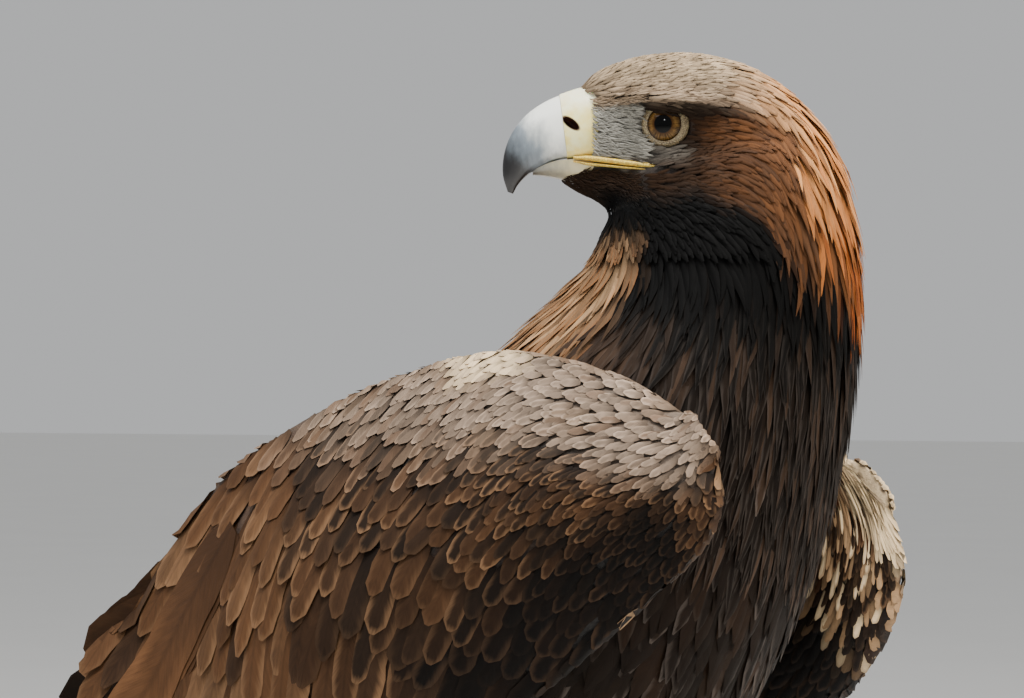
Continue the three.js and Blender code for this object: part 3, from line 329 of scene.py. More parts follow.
@dataclass
class WingForm:
    """A folded wing. p runs from the wrist to the tip, q from the leading edge up towards the back."""

    side: Side
    forward: float
    up: float
    out: float
    front: float
    rear: float
    fan: float = 0.0
    spread: float = 0.0
    droop: float = 0.0
    long: float = 620.0
    straight: float = 120.0
    spread_from: float = 60.0
    spread_full: float = 260.0
    crest_share: float = 0.36
    cap: float = 4.5
    cuts: tuple[float, float, int] = (-18.0, 254.0, 60)
    low: Curve = curve(
        (-18, 20), (-9, 5), (6, -3), (34, -6), (78, -6), (124, -5), (175, -3), (206, -1), (236, 1), (254, 2),
    )
    high: Curve = curve(
        (-18, 46), (-9, 68), (6, 91), (34, 121), (78, 145), (124, 161), (175, 168), (206, 163), (236, 153),
        (254, 144),
    )
    droop_share: Curve = curve(
        (-18, 0.1), (6, 0.45), (40, 0.85), (90, 1), (200, 0.9), (330, 0.5), (600, 0.2),
    )
    crest: Curve = curve(
        (-18, 97), (0, 113), (34, 124), (90, 127), (165, 124), (232, 117), (330, 104), (450, 81), (620, 62),
    )
    upper: Curve = curve(
        (-18, 90), (0, 82), (34, 68), (90, 54), (165, 44), (232, 44), (330, 56), (450, 66), (620, 58),
    )
    nose: Curve = curve(
        (-18, 4), (10, 17), (90, 18), (165, 15), (254, 6), (330, 0),
    )
    round: Curve = curve((150, 1), (255, 0.12))
    thick: Curve = curve(
        (-18, 9), (-6, 22), (16, 34), (80, 36), (130, 32), (190, 20), (236, 9), (254, 3.2),
    )

    def edges(self, p: Array) -> Pair:
        """The q of the leading edge and of the upper edge at p."""
        opened = np.clip((p - self.spread_from) / (self.spread_full - self.spread_from), 0, 1) ** 2
        return self.low(p) - self.droop * self.droop_share(p), self.high(p) + self.spread * opened

    def lateral(self, p: Array, q: Array) -> Array:
        """How far the wing's outer face stands from the middle of the bird."""
        low, high = self.edges(p)
        v = np.clip((q - low) / (high - low), 0, 1)
        crest, upper = self.crest(p), self.upper(p)
        rise = np.sin(np.pi / 2 * np.minimum(1, v / self.crest_share))
        fall = np.cos(np.pi / 2 * np.maximum(0, (v - self.crest_share) / (1 - self.crest_share)))
        padded = np.where(v < self.crest_share, crest - self.nose(p) * (1 - rise), lerp(upper, crest, fall))
        return lerp(lerp(crest, upper, v), padded, self.round(p)) + self.out

    def at(self, p: Array, q: Array, lateral: Array) -> Array:
        """Points of the wing at a distance from the middle of the bird."""
        start = math.radians(self.front)
        bend = math.radians(self.front - self.rear) / (self.long - self.straight)
        straight = np.minimum(p, self.straight)
        angle = start - bend * np.maximum(p - self.straight, 0)
        along = straight * math.cos(start) + (math.sin(start) - np.sin(angle)) / bend
        down = straight * math.sin(start) + (np.cos(angle) - math.cos(start)) / bend
        forward = self.forward - along - q * np.sin(angle)
        return place(forward, self.side.value * lateral, self.up - down + q * np.cos(angle))

    def face(self, p: Array, q: Array) -> Array:
        """Points of the wing's skin. Past either edge and the wrist, it runs on over the inner face."""
        low, high = self.edges(p)
        inside = np.where(q < low, 2 * low - q, np.where(q > high, 2 * high - q, q))
        wrapped = (q < low) | (q > high)
        share = np.clip((inside - low) / (high - low), 0, 1)
        body = np.minimum(1, 2.6 * np.sqrt(share * (1 - share)))
        curl = np.clip((self.cuts[0] - p) / self.cap, 0, np.pi)
        depth = self.thick(p) * body * np.where(wrapped, 1, 0.5 - 0.5 * np.cos(curl))
        ahead = np.maximum(p, self.cuts[0]) - self.cap * body * np.sin(curl)
        return self.at(ahead, inside, self.lateral(p, inside) - depth)

    def normal(self, p: Array, q: Array) -> Array:
        """The outward direction of the wing's skin."""
        step = 0.8
        run = self.face(p + step, q) - self.face(p - step, q)
        rise = self.face(p, q + step) - self.face(p, q - step)
        return unit(np.cross(run, rise)) * self.side.value

    def nearest(self, points: Array) -> Pair:
        """The p and q of the places on the wing that are nearest to points."""
        p, share = np.meshgrid(np.linspace(-18, 254, 90), np.linspace(-0.12, 1.12, 60), indexing="ij")
        low, high = self.edges(p)
        q = lerp(low, high, share)
        numbers = nearest_of(self.face(p, q).reshape(-1, 3), points)
        return p.ravel()[numbers], q.ravel()[numbers]

    def ring_points(self, rim: float, sides: int = 20) -> Array:
        """The fleshy part of the wing as rings of points, with its upper edge moved out by a rim."""
        first, last, count = self.cuts
        reach = self.cap + 1
        nose = first - reach * np.sin(np.radians([80, 55, 28]))
        run = np.append(nose, first + (last - first) * np.linspace(0, 1, count) ** 1.25)
        p, turn = np.meshgrid(run, np.arange(2 * sides) * np.pi / sides, indexing="ij")
        low, high = self.edges(p)
        share = 0.5 - 0.5 * np.cos(turn)
        body = np.minimum(1, 1.3 * np.abs(np.sin(turn)))
        q = lerp(low, high + rim, share)
        depth = np.where(turn > np.pi, self.thick(p) * body, 0)
        size = np.sqrt(1 - np.clip((first - p) / reach, 0, 1) ** 2)
        middle, deep = (low + high) / 2, self.thick(p) / 2
        q, depth = lerp(middle, q, 0.4 + 0.6 * size), lerp(deep, depth, size)
        return self.at(p, q, self.lateral(p, q) - depth)


@dataclass
class TailForm:
    """The plane of the tail, from the trunk's last stretch."""

    start: Span = (-232, 190)
    fall: float = 31.0

    def point(self, along: Array, left: Array, lift: Array) -> Array:
        """Points of the tail: along it from its root, to its left, and above its plane."""
        angle = math.radians(self.fall)
        forward = self.start[0] - along * math.cos(angle) - lift * math.sin(angle)
        return place(forward, left, self.start[1] - along * math.sin(angle) + lift * math.cos(angle))


@dataclass
class LegForm:
    """A leg: a feathered thigh and shank over a bare foot."""

    side: Side
    apart: float = 50.0
    knee: Span = (-30, 268)
    hock: Span = (-86, 128)
    ankle: Span = (-52, 24)
    turn_out: float = 8.0
    slope: float = 0.28
    lean: float = 12.0
    thigh: tuple = (  # share of the way from knee to hock, half of the depth, half of the width
        (-0.34, 14, 12), (-0.24, 36, 31), (-0.04, 50, 41), (0.2, 52, 42), (0.42, 46, 38),
        (0.64, 37, 31), (0.84, 28, 24), (1.02, 21, 18), (1.12, 17, 15),
    )
    shank: tuple = ((0.02, 15.5), (0.25, 14), (0.5, 12.8), (0.75, 12.2), (1.08, 12.6))

    def line(self, start: Span, end: Span, share: Array) -> Array:
        """Points on the line between two joints of the leg."""
        forward = lerp(start[0], end[0], share)
        return place(forward, self.side.value * self.apart, lerp(start[1], end[1], share))

    def parts(self) -> list[tuple]:
        """Each feathered part's region, its two joints and how far back its feathers lean."""
        name = self.side.name
        return [
            (f"THIGH_{name}", self.knee, self.hock, self.lean),
            (f"SHANK_{name}", self.hock, self.ankle, 0.0),
        ]

    def thigh_rings(self, rings: int = 30, sides: int = 32) -> Array:
        """The thigh as rings of points."""
        share, deep, half = curves_of(self.thigh)
        station, turn = ring_grid(0, len(self.thigh) - 1, rings, sides)
        ahead = deep(station) * np.cos(turn)
        offset = place(ahead, half(station) * np.sin(turn), -self.slope * ahead)
        return self.line(self.knee, self.hock, share(station)) + offset

    def shank_rings(self, rings: int = 20, sides: int = 24) -> Array:
        """The shank as rings of points."""
        radius = Curve(self.shank)
        share, turn = ring_grid(self.shank[0][0], self.shank[-1][0], rings, sides)
        along = unit(self.line(self.hock, self.ankle, 1.0) - self.line(self.hock, self.ankle, 0.0))
        across = unit(np.cross(UP, along))
        rise = np.cross(along, across)
        wide = radius(share)[..., None]
        middle = self.line(self.hock, self.ankle, share)
        return middle + wide * (np.cos(turn)[..., None] * across + np.sin(turn)[..., None] * rise)

    def foot(self, heading: float, along: Array, left: Array, up: Array) -> Array:
        """Points of the foot: along a heading from the ankle, to its left, and above the floor."""
        angle = math.radians(heading + self.turn_out)
        forward = self.ankle[0] + along * math.cos(angle) - left * math.sin(angle)
        aside = self.apart + along * math.sin(angle) + left * math.cos(angle)
        return place(forward, self.side.value * aside, up)


# Making meshes


class Bench:
    """Makes and finishes meshes, as by hand in the edit and object modes."""

    def __init__(self) -> None:
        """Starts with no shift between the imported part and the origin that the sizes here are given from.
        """
        self.shift = np.zeros(3)

    def settle(self, node: str, middle: Array) -> None:
        """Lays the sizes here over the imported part.

        Args:
            node: a node whose middle is known.
            middle: its middle, in the sizes' own frame.
        """
        low, high = (np.array(corner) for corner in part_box(node))
        self.shift = (low + high) / 2 / MM - middle

    def metres(self, points: Array) -> Array:
        """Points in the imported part's frame and in metres."""
        return (points + self.shift) * MM

    def own(self, points: Array) -> Array:
        """Points in the sizes' own frame and in millimetres."""
        return points / MM - self.shift

    @staticmethod
    def spots(piece: Piece) -> Array:
        """A piece's points, in metres."""
        return np.array([vertex.co[:] for vertex in piece.data.vertices])

    def put(self, piece: Piece, points: Array) -> None:
        """Moves a piece's points to places in millimetres."""
        piece.data.vertices.foreach_set("co", self.metres(points).ravel())
        piece.data.update()

    def millimetres(self, point: Array) -> Spot:
        """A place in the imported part's frame and in millimetres, as shaders take it."""
        return tuple(self.metres(point) / MM)

    @staticmethod
    def clear() -> None:
        """Leaves edit mode with nothing selected."""
        if bpy.context.object and bpy.context.object.mode != "OBJECT":
            bpy.ops.object.mode_set(mode="OBJECT")
        bpy.ops.object.select_all(action="DESELECT")

    def pick(self, *pieces: Piece) -> None:
        """Selects these pieces alone, the first one active."""
        self.clear()
        for piece in pieces:
            piece.select_set(True)
        bpy.context.view_layer.objects.active = pieces[0]

    def ring_body(self, name: str, rings: Array) -> Piece:
        """A closed body drawn out ring by ring from a filled circle.

        Args:
            name: the piece's name.
            rings: the rings' points, as rings by sides by 3.

        Returns:
            The piece.
        """
        rings = self.metres(rings)
        self.clear()
        bpy.ops.mesh.primitive_circle_add(vertices=rings.shape[1], fill_type="NGON")
        piece = bpy.context.object
        piece.name = name
        bpy.ops.object.mode_set(mode="EDIT")
        work = bmesh.from_edit_mesh(piece.data)
        for vertex, point in zip(work.verts, rings[0]):
            vertex.co = point
        bmesh.update_edit_mesh(piece.data)
        for before, points in zip(rings, rings[1:]):
            bpy.ops.mesh.extrude_region_move()
            work = bmesh.from_edit_mesh(piece.data)
            drawn = [vertex for vertex in work.verts if vertex.select]
            spots = np.array([vertex.co[:] for vertex in drawn])
            nearest = np.argmin(np.linalg.norm(spots[:, None] - before[None], axis=-1), axis=1)
            for vertex, number in zip(drawn, nearest):
                vertex.co = points[number]
            bmesh.update_edit_mesh(piece.data)
        bpy.ops.mesh.select_all(action="SELECT")
        bpy.ops.mesh.normals_make_consistent(inside=False)
        bpy.ops.object.mode_set(mode="OBJECT")
        bpy.ops.object.shade_smooth()
        return piece

    def ball(self, name: str, centre: Array, radius: float, scale: Sequence[float] = (1, 1, 1),
             axis: Array = UP, segments: int = 48) -> Piece:
        """A ball, stretched and turned so that its pole looks along an axis.

        Args:
            name: the piece's name.
            centre: its middle.
            radius: its radius.
            scale: how far it is stretched along its own x, y and z.
            axis: where its pole looks.
            segments: how many it has round the pole.

        Returns:
            The piece, with its place in its mesh.
        """
        self.clear()
        bpy.ops.mesh.primitive_uv_sphere_add(
            segments=segments,
            ring_count=segments // 2,
            radius=radius * MM,
            location=self.metres(centre),
            rotation=Vector(axis).to_track_quat("Z", "Y").to_euler(),
            scale=scale,
        )
        piece = bpy.context.object
        piece.name = name
        bpy.ops.object.transform_apply(location=True, rotation=True, scale=True)
        bpy.ops.object.shade_smooth()
        return piece

    def modify(self, piece: Piece, kind: str, **settings: object) -> None:
        """Adds a modifier to a piece and applies it.

        Args:
            piece: the piece.
            kind: the modifier's type.
            settings: its settings.
        """
        self.pick(piece)
        modifier = piece.modifiers.new(kind.title(), kind)
        for key, value in settings.items():
            setattr(modifier, key, value)
        bpy.ops.object.modifier_apply(modifier=modifier.name)

    def join(self, name: str, pieces: Sequence[Piece]) -> Piece:
        """Joins pieces into one object."""
        self.pick(*pieces)
        if len(pieces) > 1:
            bpy.ops.object.join()
        bpy.context.object.name = name
        return bpy.context.object

    def copy(self, name: str, piece: Piece) -> Piece:
        """A copy of a piece with a mesh of its own."""
        self.pick(piece)
        bpy.ops.object.duplicate(linked=False)
        bpy.context.object.name = name
        return bpy.context.object

    def turn(self, piece: Piece, centre: Array, axis: Array) -> None:
        """Takes a piece made at the origin to its place, its own z along an axis and its own y upwards."""
        across = unit(np.cross(UP, axis))
        basis = np.stack([across, np.cross(axis, across), axis], axis=1)
        self.put(piece, centre + self.spots(piece) / MM @ basis.T)

    def carve(self, piece: Piece, cutter: Piece) -> None:
        """Cuts one piece out of another and takes the cutter away."""
        self.modify(piece, "BOOLEAN", operation="DIFFERENCE", solver="EXACT", object=cutter)
        bpy.data.objects.remove(cutter)

    def arrays(self, name: str, points: Array, faces: Array) -> Piece:
        """A mesh from arrays of points, in millimetres, and of four-cornered faces."""
        mesh = bpy.data.meshes.new(name)
        mesh.vertices.add(len(points))
        mesh.vertices.foreach_set("co", self.metres(points).ravel())
        mesh.loops.add(faces.size)
        mesh.loops.foreach_set("vertex_index", faces.ravel())
        mesh.polygons.add(len(faces))
        mesh.polygons.foreach_set("loop_start", np.arange(len(faces)) * 4)
        mesh.polygons.foreach_set("use_smooth", np.ones(len(faces), bool))
        mesh.update(calc_edges=True)
        piece = bpy.data.objects.new(name, mesh)
        bpy.context.collection.objects.link(piece)
        return piece


def thin(spots: Array, gaps: Array) -> list[int]:
    """Picks places in order, leaving out each that is nearer to one picked before than its gap.

    Args:
        spots: the places.
        gaps: the gap at each.

    Returns:
        The numbers of the places picked.
    """
    cells = np.floor(spots / gaps.max()).astype(int).tolist()
    near = [(i, j, k) for i in (-1, 0, 1) for j in (-1, 0, 1) for k in (-1, 0, 1)]
    taken: dict[tuple[int, int, int], list[int]] = {}
    kept = []
    for n, (i, j, k) in enumerate(cells):
        others = [m for a, b, c in near for m in taken.get((i + a, j + b, k + c), ())]
        if others and np.min(np.sum((spots[others] - spots[n]) ** 2, axis=1)) < gaps[n] ** 2:
            continue
        taken.setdefault((i, j, k), []).append(n)
        kept.append(n)
    return kept


class Ground:
    """A mesh that feathers grow on, which finds its nearest point and direction outwards."""

    def __init__(self, bench: Bench, piece: Piece) -> None:
        """Reads the mesh.

        Args:
            bench: turns metres into millimetres.
            piece: the mesh.
        """
        mesh = piece.data
        flat = np.empty(len(mesh.vertices) * 3, np.float32)
        mesh.vertices.foreach_get("co", flat)
        self.points = bench.own(flat.reshape(-1, 3).astype(float))
        mesh.vertices.foreach_get("normal", flat)
        self.normals = flat.reshape(-1, 3).astype(float)
        mesh.calc_loop_triangles()
        triangles = np.empty(len(mesh.loop_triangles) * 3, np.int32)
        mesh.loop_triangles.foreach_get("vertices", triangles)
        self.triangles = triangles.reshape(-1, 3)
        self.tree = BVHTree.FromPolygons(self.points.tolist(), self.triangles.tolist())

    def nearest(self, points: Array) -> Trio:
        """The nearest points of the mesh.

        Args:
            points: where to look from.

        Returns:
            The points found, the corners of the triangle of each and their shares in it.
        """
        spots = np.empty_like(points)
        numbers = np.empty(len(points), int)
        for i, point in enumerate(points):
            spot, _, numbers[i], _ = self.tree.find_nearest(point)
            spots[i] = spot
        corners = self.triangles[numbers]
        shares = 1 / (np.linalg.norm(self.points[corners] - spots[:, None], axis=-1) + 0.05) ** 2
        return spots, corners, shares / shares.sum(axis=1, keepdims=True)

    @staticmethod
    def blend(values: Array, corners: Array, shares: Array) -> Array:
        """A value of the vertices at places in triangles."""
        if values.ndim == 1:
            return np.sum(values[corners] * shares, axis=1)
        return np.einsum("nk,nkd->nd", shares, values[corners])

    def smooth(self, values: Array, rounds: int) -> Array:
        """Vectors of the vertices, each drawn towards its neighbours' and kept along the surface."""
        pairs = np.concatenate([self.triangles[:, ends] for ends in ([0, 1], [1, 2], [2, 0])])
        pairs = np.concatenate([pairs, pairs[:, ::-1]])
        count = np.bincount(pairs[:, 0], minlength=len(values))[:, None]
        for _ in range(rounds):
            around = [np.bincount(pairs[:, 0], values[pairs[:, 1], k], len(values)) for k in range(3)]
            values = (values + np.stack(around, axis=1) / np.maximum(count, 1)) / 2
            values = unit(values - self.normals * dots(values, self.normals)[:, None])
        return values

    def scatter(self, gaps: Array, draws: np.random.Generator) -> Pair:
        """Places spread over the mesh, none nearer to another than the gap there.

        Args:
            gaps: the gap at each vertex, or 0 where no place is wanted.
            draws: draws the places.

        Returns:
            The corners of each place's triangle, and their shares in it.
        """
        corners = self.points[self.triangles]
        sides = np.cross(corners[:, 1] - corners[:, 0], corners[:, 2] - corners[:, 0])
        wanted = gaps[self.triangles].min(axis=1)
        weight = np.where(wanted > 0, np.linalg.norm(sides, axis=1) / np.maximum(wanted, 0.5) ** 2, 0)
        count = int(weight.sum() * 4)
        if not count:
            return np.empty((0, 3), int), np.empty((0, 3))
        chosen = draws.choice(len(weight), count, p=weight / weight.sum())
        a, b = np.sqrt(draws.random(count)), draws.random(count)
        shares = np.stack([1 - a, a * (1 - b), a * b], axis=1)
        spots = np.einsum("nk,nkd->nd", shares, corners[chosen])
        space = self.blend(gaps, self.triangles[chosen], shares)
        kept = thin(spots, space)
        return self.triangles[chosen[kept]], shares[kept]


# Feathers


@dataclass(frozen=True)
class Vane:
    """The shape of one kind of feather.

    Its outline is a list of shares of the length, each with its share of the half width.
    """

    outline: Pairs
    rows: int = 6
    columns: int = 1
    cup: float = 0.25
    ridge: float = 0.25
    ragged: float = 0.06


SCALE = Vane(((0, 0.6), (0.3, 0.95), (0.6, 1), (0.85, 0.84), (1, 0.3)), rows=5)
CONTOUR = Vane(((0, 0.4), (0.35, 0.95), (0.6, 1), (0.82, 0.72), (1, 0.1)))
LANCE = Vane(((0, 0.6), (0.25, 1), (0.5, 0.86), (0.75, 0.52), (0.92, 0.2), (1, 0.03)), rows=7, cup=0.3)
HAIR = Vane(((0, 0.7), (0.3, 1), (0.7, 0.6), (1, 0.05)), rows=4, cup=0.3, ragged=0)
SHAG = Vane(((0, 0.5), (0.3, 1), (0.6, 0.9), (0.85, 0.5), (1, 0.05)), rows=7, ragged=0.14)
COVERT = Vane(((0, 0.5), (0.2, 0.92), (0.5, 1), (0.78, 0.98), (0.9, 0.82), (0.97, 0.52), (1, 0.2)),
              rows=9, columns=2, cup=0.12, ridge=0.3, ragged=0.04)
FLIGHT = Vane(((0, 0.3), (0.08, 0.8), (0.25, 1), (0.84, 0.98), (0.92, 0.84), (0.975, 0.56), (1, 0.2)),
              rows=20, columns=3, cup=0.04, ridge=0.4, ragged=0.025)


@dataclass
class Feathers:
    """Many feathers of one kind."""

    vane: Vane
    sheet: Callable[[Array], Array]  # points from reaches across, feathers by rows by columns
    out: Array  # off the skin, feathers by rows by 3
    half: Array  # half of the width of each
    long: Array
    tint: Array
    rim: Array
    strength: Array
    patch: Array  # the root's place on the flat unwrap

    def __len__(self) -> int:
        """How many feathers there are."""
        return len(self.half)


class Coat:
    """Feathers that make one piece of the model."""

    patch_size = 0.003
    seed_spread = 50

    def __init__(self, bench: Bench, name: str, seed: int) -> None:
        """Starts an empty coat.

        Args:
            bench: makes the mesh.
            name: the piece's name.
            seed: starts the draws.
        """
        self.bench = bench
        self.name = name
        self.draws = np.random.default_rng(seed)
        self.batches: list[Feathers] = []

    def add(self, feathers: Feathers) -> None:
        """Adds feathers of one kind."""
        if len(feathers):
            self.batches.append(feathers)

    def shape(self, feathers: Feathers) -> Trio:
        """The points and faces of one kind of feather.

        Args:
            feathers: where they lie.

        Returns:
            Their points, their faces and each point's place across and along its vane.
        """
        vane = feathers.vane
        count, rows = len(feathers), vane.rows
        columns = 2 * vane.columns + 1
        share = np.linspace(0, 1, rows)
        wide = Curve(vane.outline)(share)[None, :] * feathers.half[:, None]
        worn = ease(0.1, 0.4, share)[None, :, None]
        rag = 1 + vane.ragged * self.draws.standard_normal((count, rows, 2)) * worn
        step = np.linspace(-1, 1, columns)
        reach = np.where(step[None, None, :] < 0, rag[..., :1], rag[..., 1:]) * step * wide[..., None]
        fall = vane.cup * np.abs(reach) ** 1.6 / np.maximum(feathers.half, 0.1)[:, None, None] ** 0.6
        ridge = vane.ridge * (1 - np.abs(step)) * (1 - 0.7 * share)[:, None]
        sheet = feathers.sheet(reach)
        places = []
        for depth in (1.0, -0.5):
            lift = depth * np.minimum(ridge, 0.5 * wide[..., None] + 0.02) - fall
            places.append(sheet + lift[..., None] * feathers.out[:, :, None])
        top = np.arange(rows * columns).reshape(rows, columns)
        low = top.copy()
        low[1:-1, 1:-1] = rows * columns + np.arange((rows - 2) * (columns - 2)).reshape(rows - 2, -1)
        sheets = []
        for grid, order in ((top, 1), (low, -1)):
            corners = [grid[:-1, :-1], grid[:-1, 1:], grid[1:, 1:], grid[1:, :-1]]
            sheets.append(np.stack(corners[::order], axis=-1).reshape(-1, 4))
        pattern = np.concatenate(sheets)
        inner = places[1][:, 1:-1, 1:-1]
        points = np.concatenate([grid.reshape(count, -1, 3) for grid in (places[0], inner)], axis=1)
        flat = np.stack(np.broadcast_arrays(step[None, :] / 2 + 0.5, share[:, None]), axis=-1)
        flat = np.concatenate([flat.reshape(-1, 2), flat[1:-1, 1:-1].reshape(-1, 2)])
        each = points.shape[1]
        faces = (pattern[None] + each * np.arange(count)[:, None, None]).reshape(-1, 4)
        return points.reshape(-1, 3), faces, np.tile(flat, (count, 1))

    def build(self) -> Piece:
        """Makes the piece, with its maps and attributes.

        Returns:
            The piece.
        """
        points, faces, flats, tints, rims, spans, patches = [], [], [], [], [], [], []
        total = 0
        for feathers in self.batches:
            spots, quads, flat = self.shape(feathers)
            each = len(spots) // len(feathers)
            points.append(spots)
            faces.append(quads + total)
            total += len(spots)
            flats.append(flat)
            alpha = self.draws.random((len(feathers), 1))
            tints.append(np.repeat(np.hstack([feathers.tint, alpha]), each, axis=0))
            rims.append(np.repeat(np.hstack([feathers.rim, feathers.strength[:, None]]), each, axis=0))
            span = np.stack([feathers.long, feathers.half, alpha[:, 0] * self.seed_spread], axis=1)
            spans.append(np.repeat(span, each, axis=0))
            patches.append(np.repeat(feathers.patch, each, axis=0) + (flat - 0.5) * self.patch_size)
        piece = self.bench.arrays(self.name, np.concatenate(points), np.concatenate(faces))
        mesh = piece.data
        corners = np.concatenate(faces).ravel()
        for name, values in (("Vane", np.concatenate(flats)), ("OFBake", np.concatenate(patches))):
            layer = mesh.uv_layers.new(name=name)
            layer.uv.foreach_set("vector", values[corners].astype(np.float32).ravel())
        for name, kind, key, values in (
            ("tint", "FLOAT_COLOR", "color", np.concatenate(tints)),
            ("rim", "FLOAT_COLOR", "color", np.concatenate(rims)),
            ("span", "FLOAT_VECTOR", "vector", np.concatenate(spans)),
        ):
            layer = mesh.attributes.new(name, kind, "POINT")
            layer.data.foreach_set(key, values.astype(np.float32).ravel())
        self.bench.pick(piece)
        bpy.ops.object.shade_smooth_by_angle(angle=math.radians(70))
        return piece


class Speckle:
    """A smooth random field over space, from a few dozen waves."""

    waves = 36

    def __init__(self, size: float, seed: int) -> None:
        """Draws the waves.

        Args:
            size: how far apart its patches lie.
            seed: starts the draws.
        """
        draws = np.random.default_rng(seed)
        ways = unit(draws.standard_normal((self.waves, 3)))
        self.ways = ways * (2 * np.pi / size / draws.uniform(0.7, 1.6, (self.waves, 1)))
        self.starts = draws.uniform(0, 2 * np.pi, self.waves)

    def __call__(self, points: Array) -> Array:
        """The field's values, mostly between -1 and 1."""
        return np.cos(points @ self.ways.T + self.starts).sum(axis=-1) / math.sqrt(self.waves / 2) / 1.6


class Region(Enum):
    """The forms that the skin is made of, and where each lies on the flat unwrap."""

    TRUNK = (0, 0.0, 0.0, 0.5, 0.5)
    HEAD = (1, 0.5, 0.0, 0.5, 0.3)
    NAPE = (2, 0.5, 0.3, 0.5, 0.2)
    THIGH_RIGHT = (3, 0.0, 0.5, 0.25, 0.2)
    THIGH_LEFT = (4, 0.25, 0.5, 0.25, 0.2)
    SHANK_RIGHT = (5, 0.5, 0.5, 0.25, 0.2)
    SHANK_LEFT = (6, 0.75, 0.5, 0.25, 0.2)
    WING_RIGHT = (7, 0.0, 0.7, 0.5, 0.3)
    WING_LEFT = (8, 0.5, 0.7, 0.5, 0.15)
    TAIL = (9, 0.5, 0.85, 0.5, 0.15)

    @property
    def number(self) -> int:
        """The label of the points that it owns."""
        return self.value[0]

    def flat(self, u: Array, v: Array) -> Array:
        """Places on the unwrap from shares across and along this region's own field."""
        _, left, low, wide, tall = self.value
        edge = Coat.patch_size
        u, v = np.clip(u, 0, 1), np.clip(v, 0, 1)
        return np.stack([left + edge + u * (wide - 2 * edge), low + edge + v * (tall - 2 * edge)], axis=-1)


HEADS = (Region.HEAD.number, Region.NAPE.number)
NECK_END = 3.3  # the trunk's station up to which its feathers are the neck's


def mixed(*stops: tuple[Array, Colour]) -> Array:
    """Colours laid one over another.

    Args:
        stops: how much each covers the ones before it, with its colour.

    Returns:
        One colour for each place.
    """
    shares = np.broadcast_arrays(*[np.asarray(share, float) for share, _ in stops])
    result = np.zeros((len(np.atleast_1d(shares[0])), 3))
    for share, (_, colour) in zip(shares, stops):
        result = lerp(result, np.array(colour), np.clip(share, 0, 1)[:, None])
    return result


def over(below: Array, colour: Colour | Array, share: Array) -> Array:
    """Colours with another one laid over them, by a share of each."""
    return lerp(below, np.asarray(colour), share[:, None])


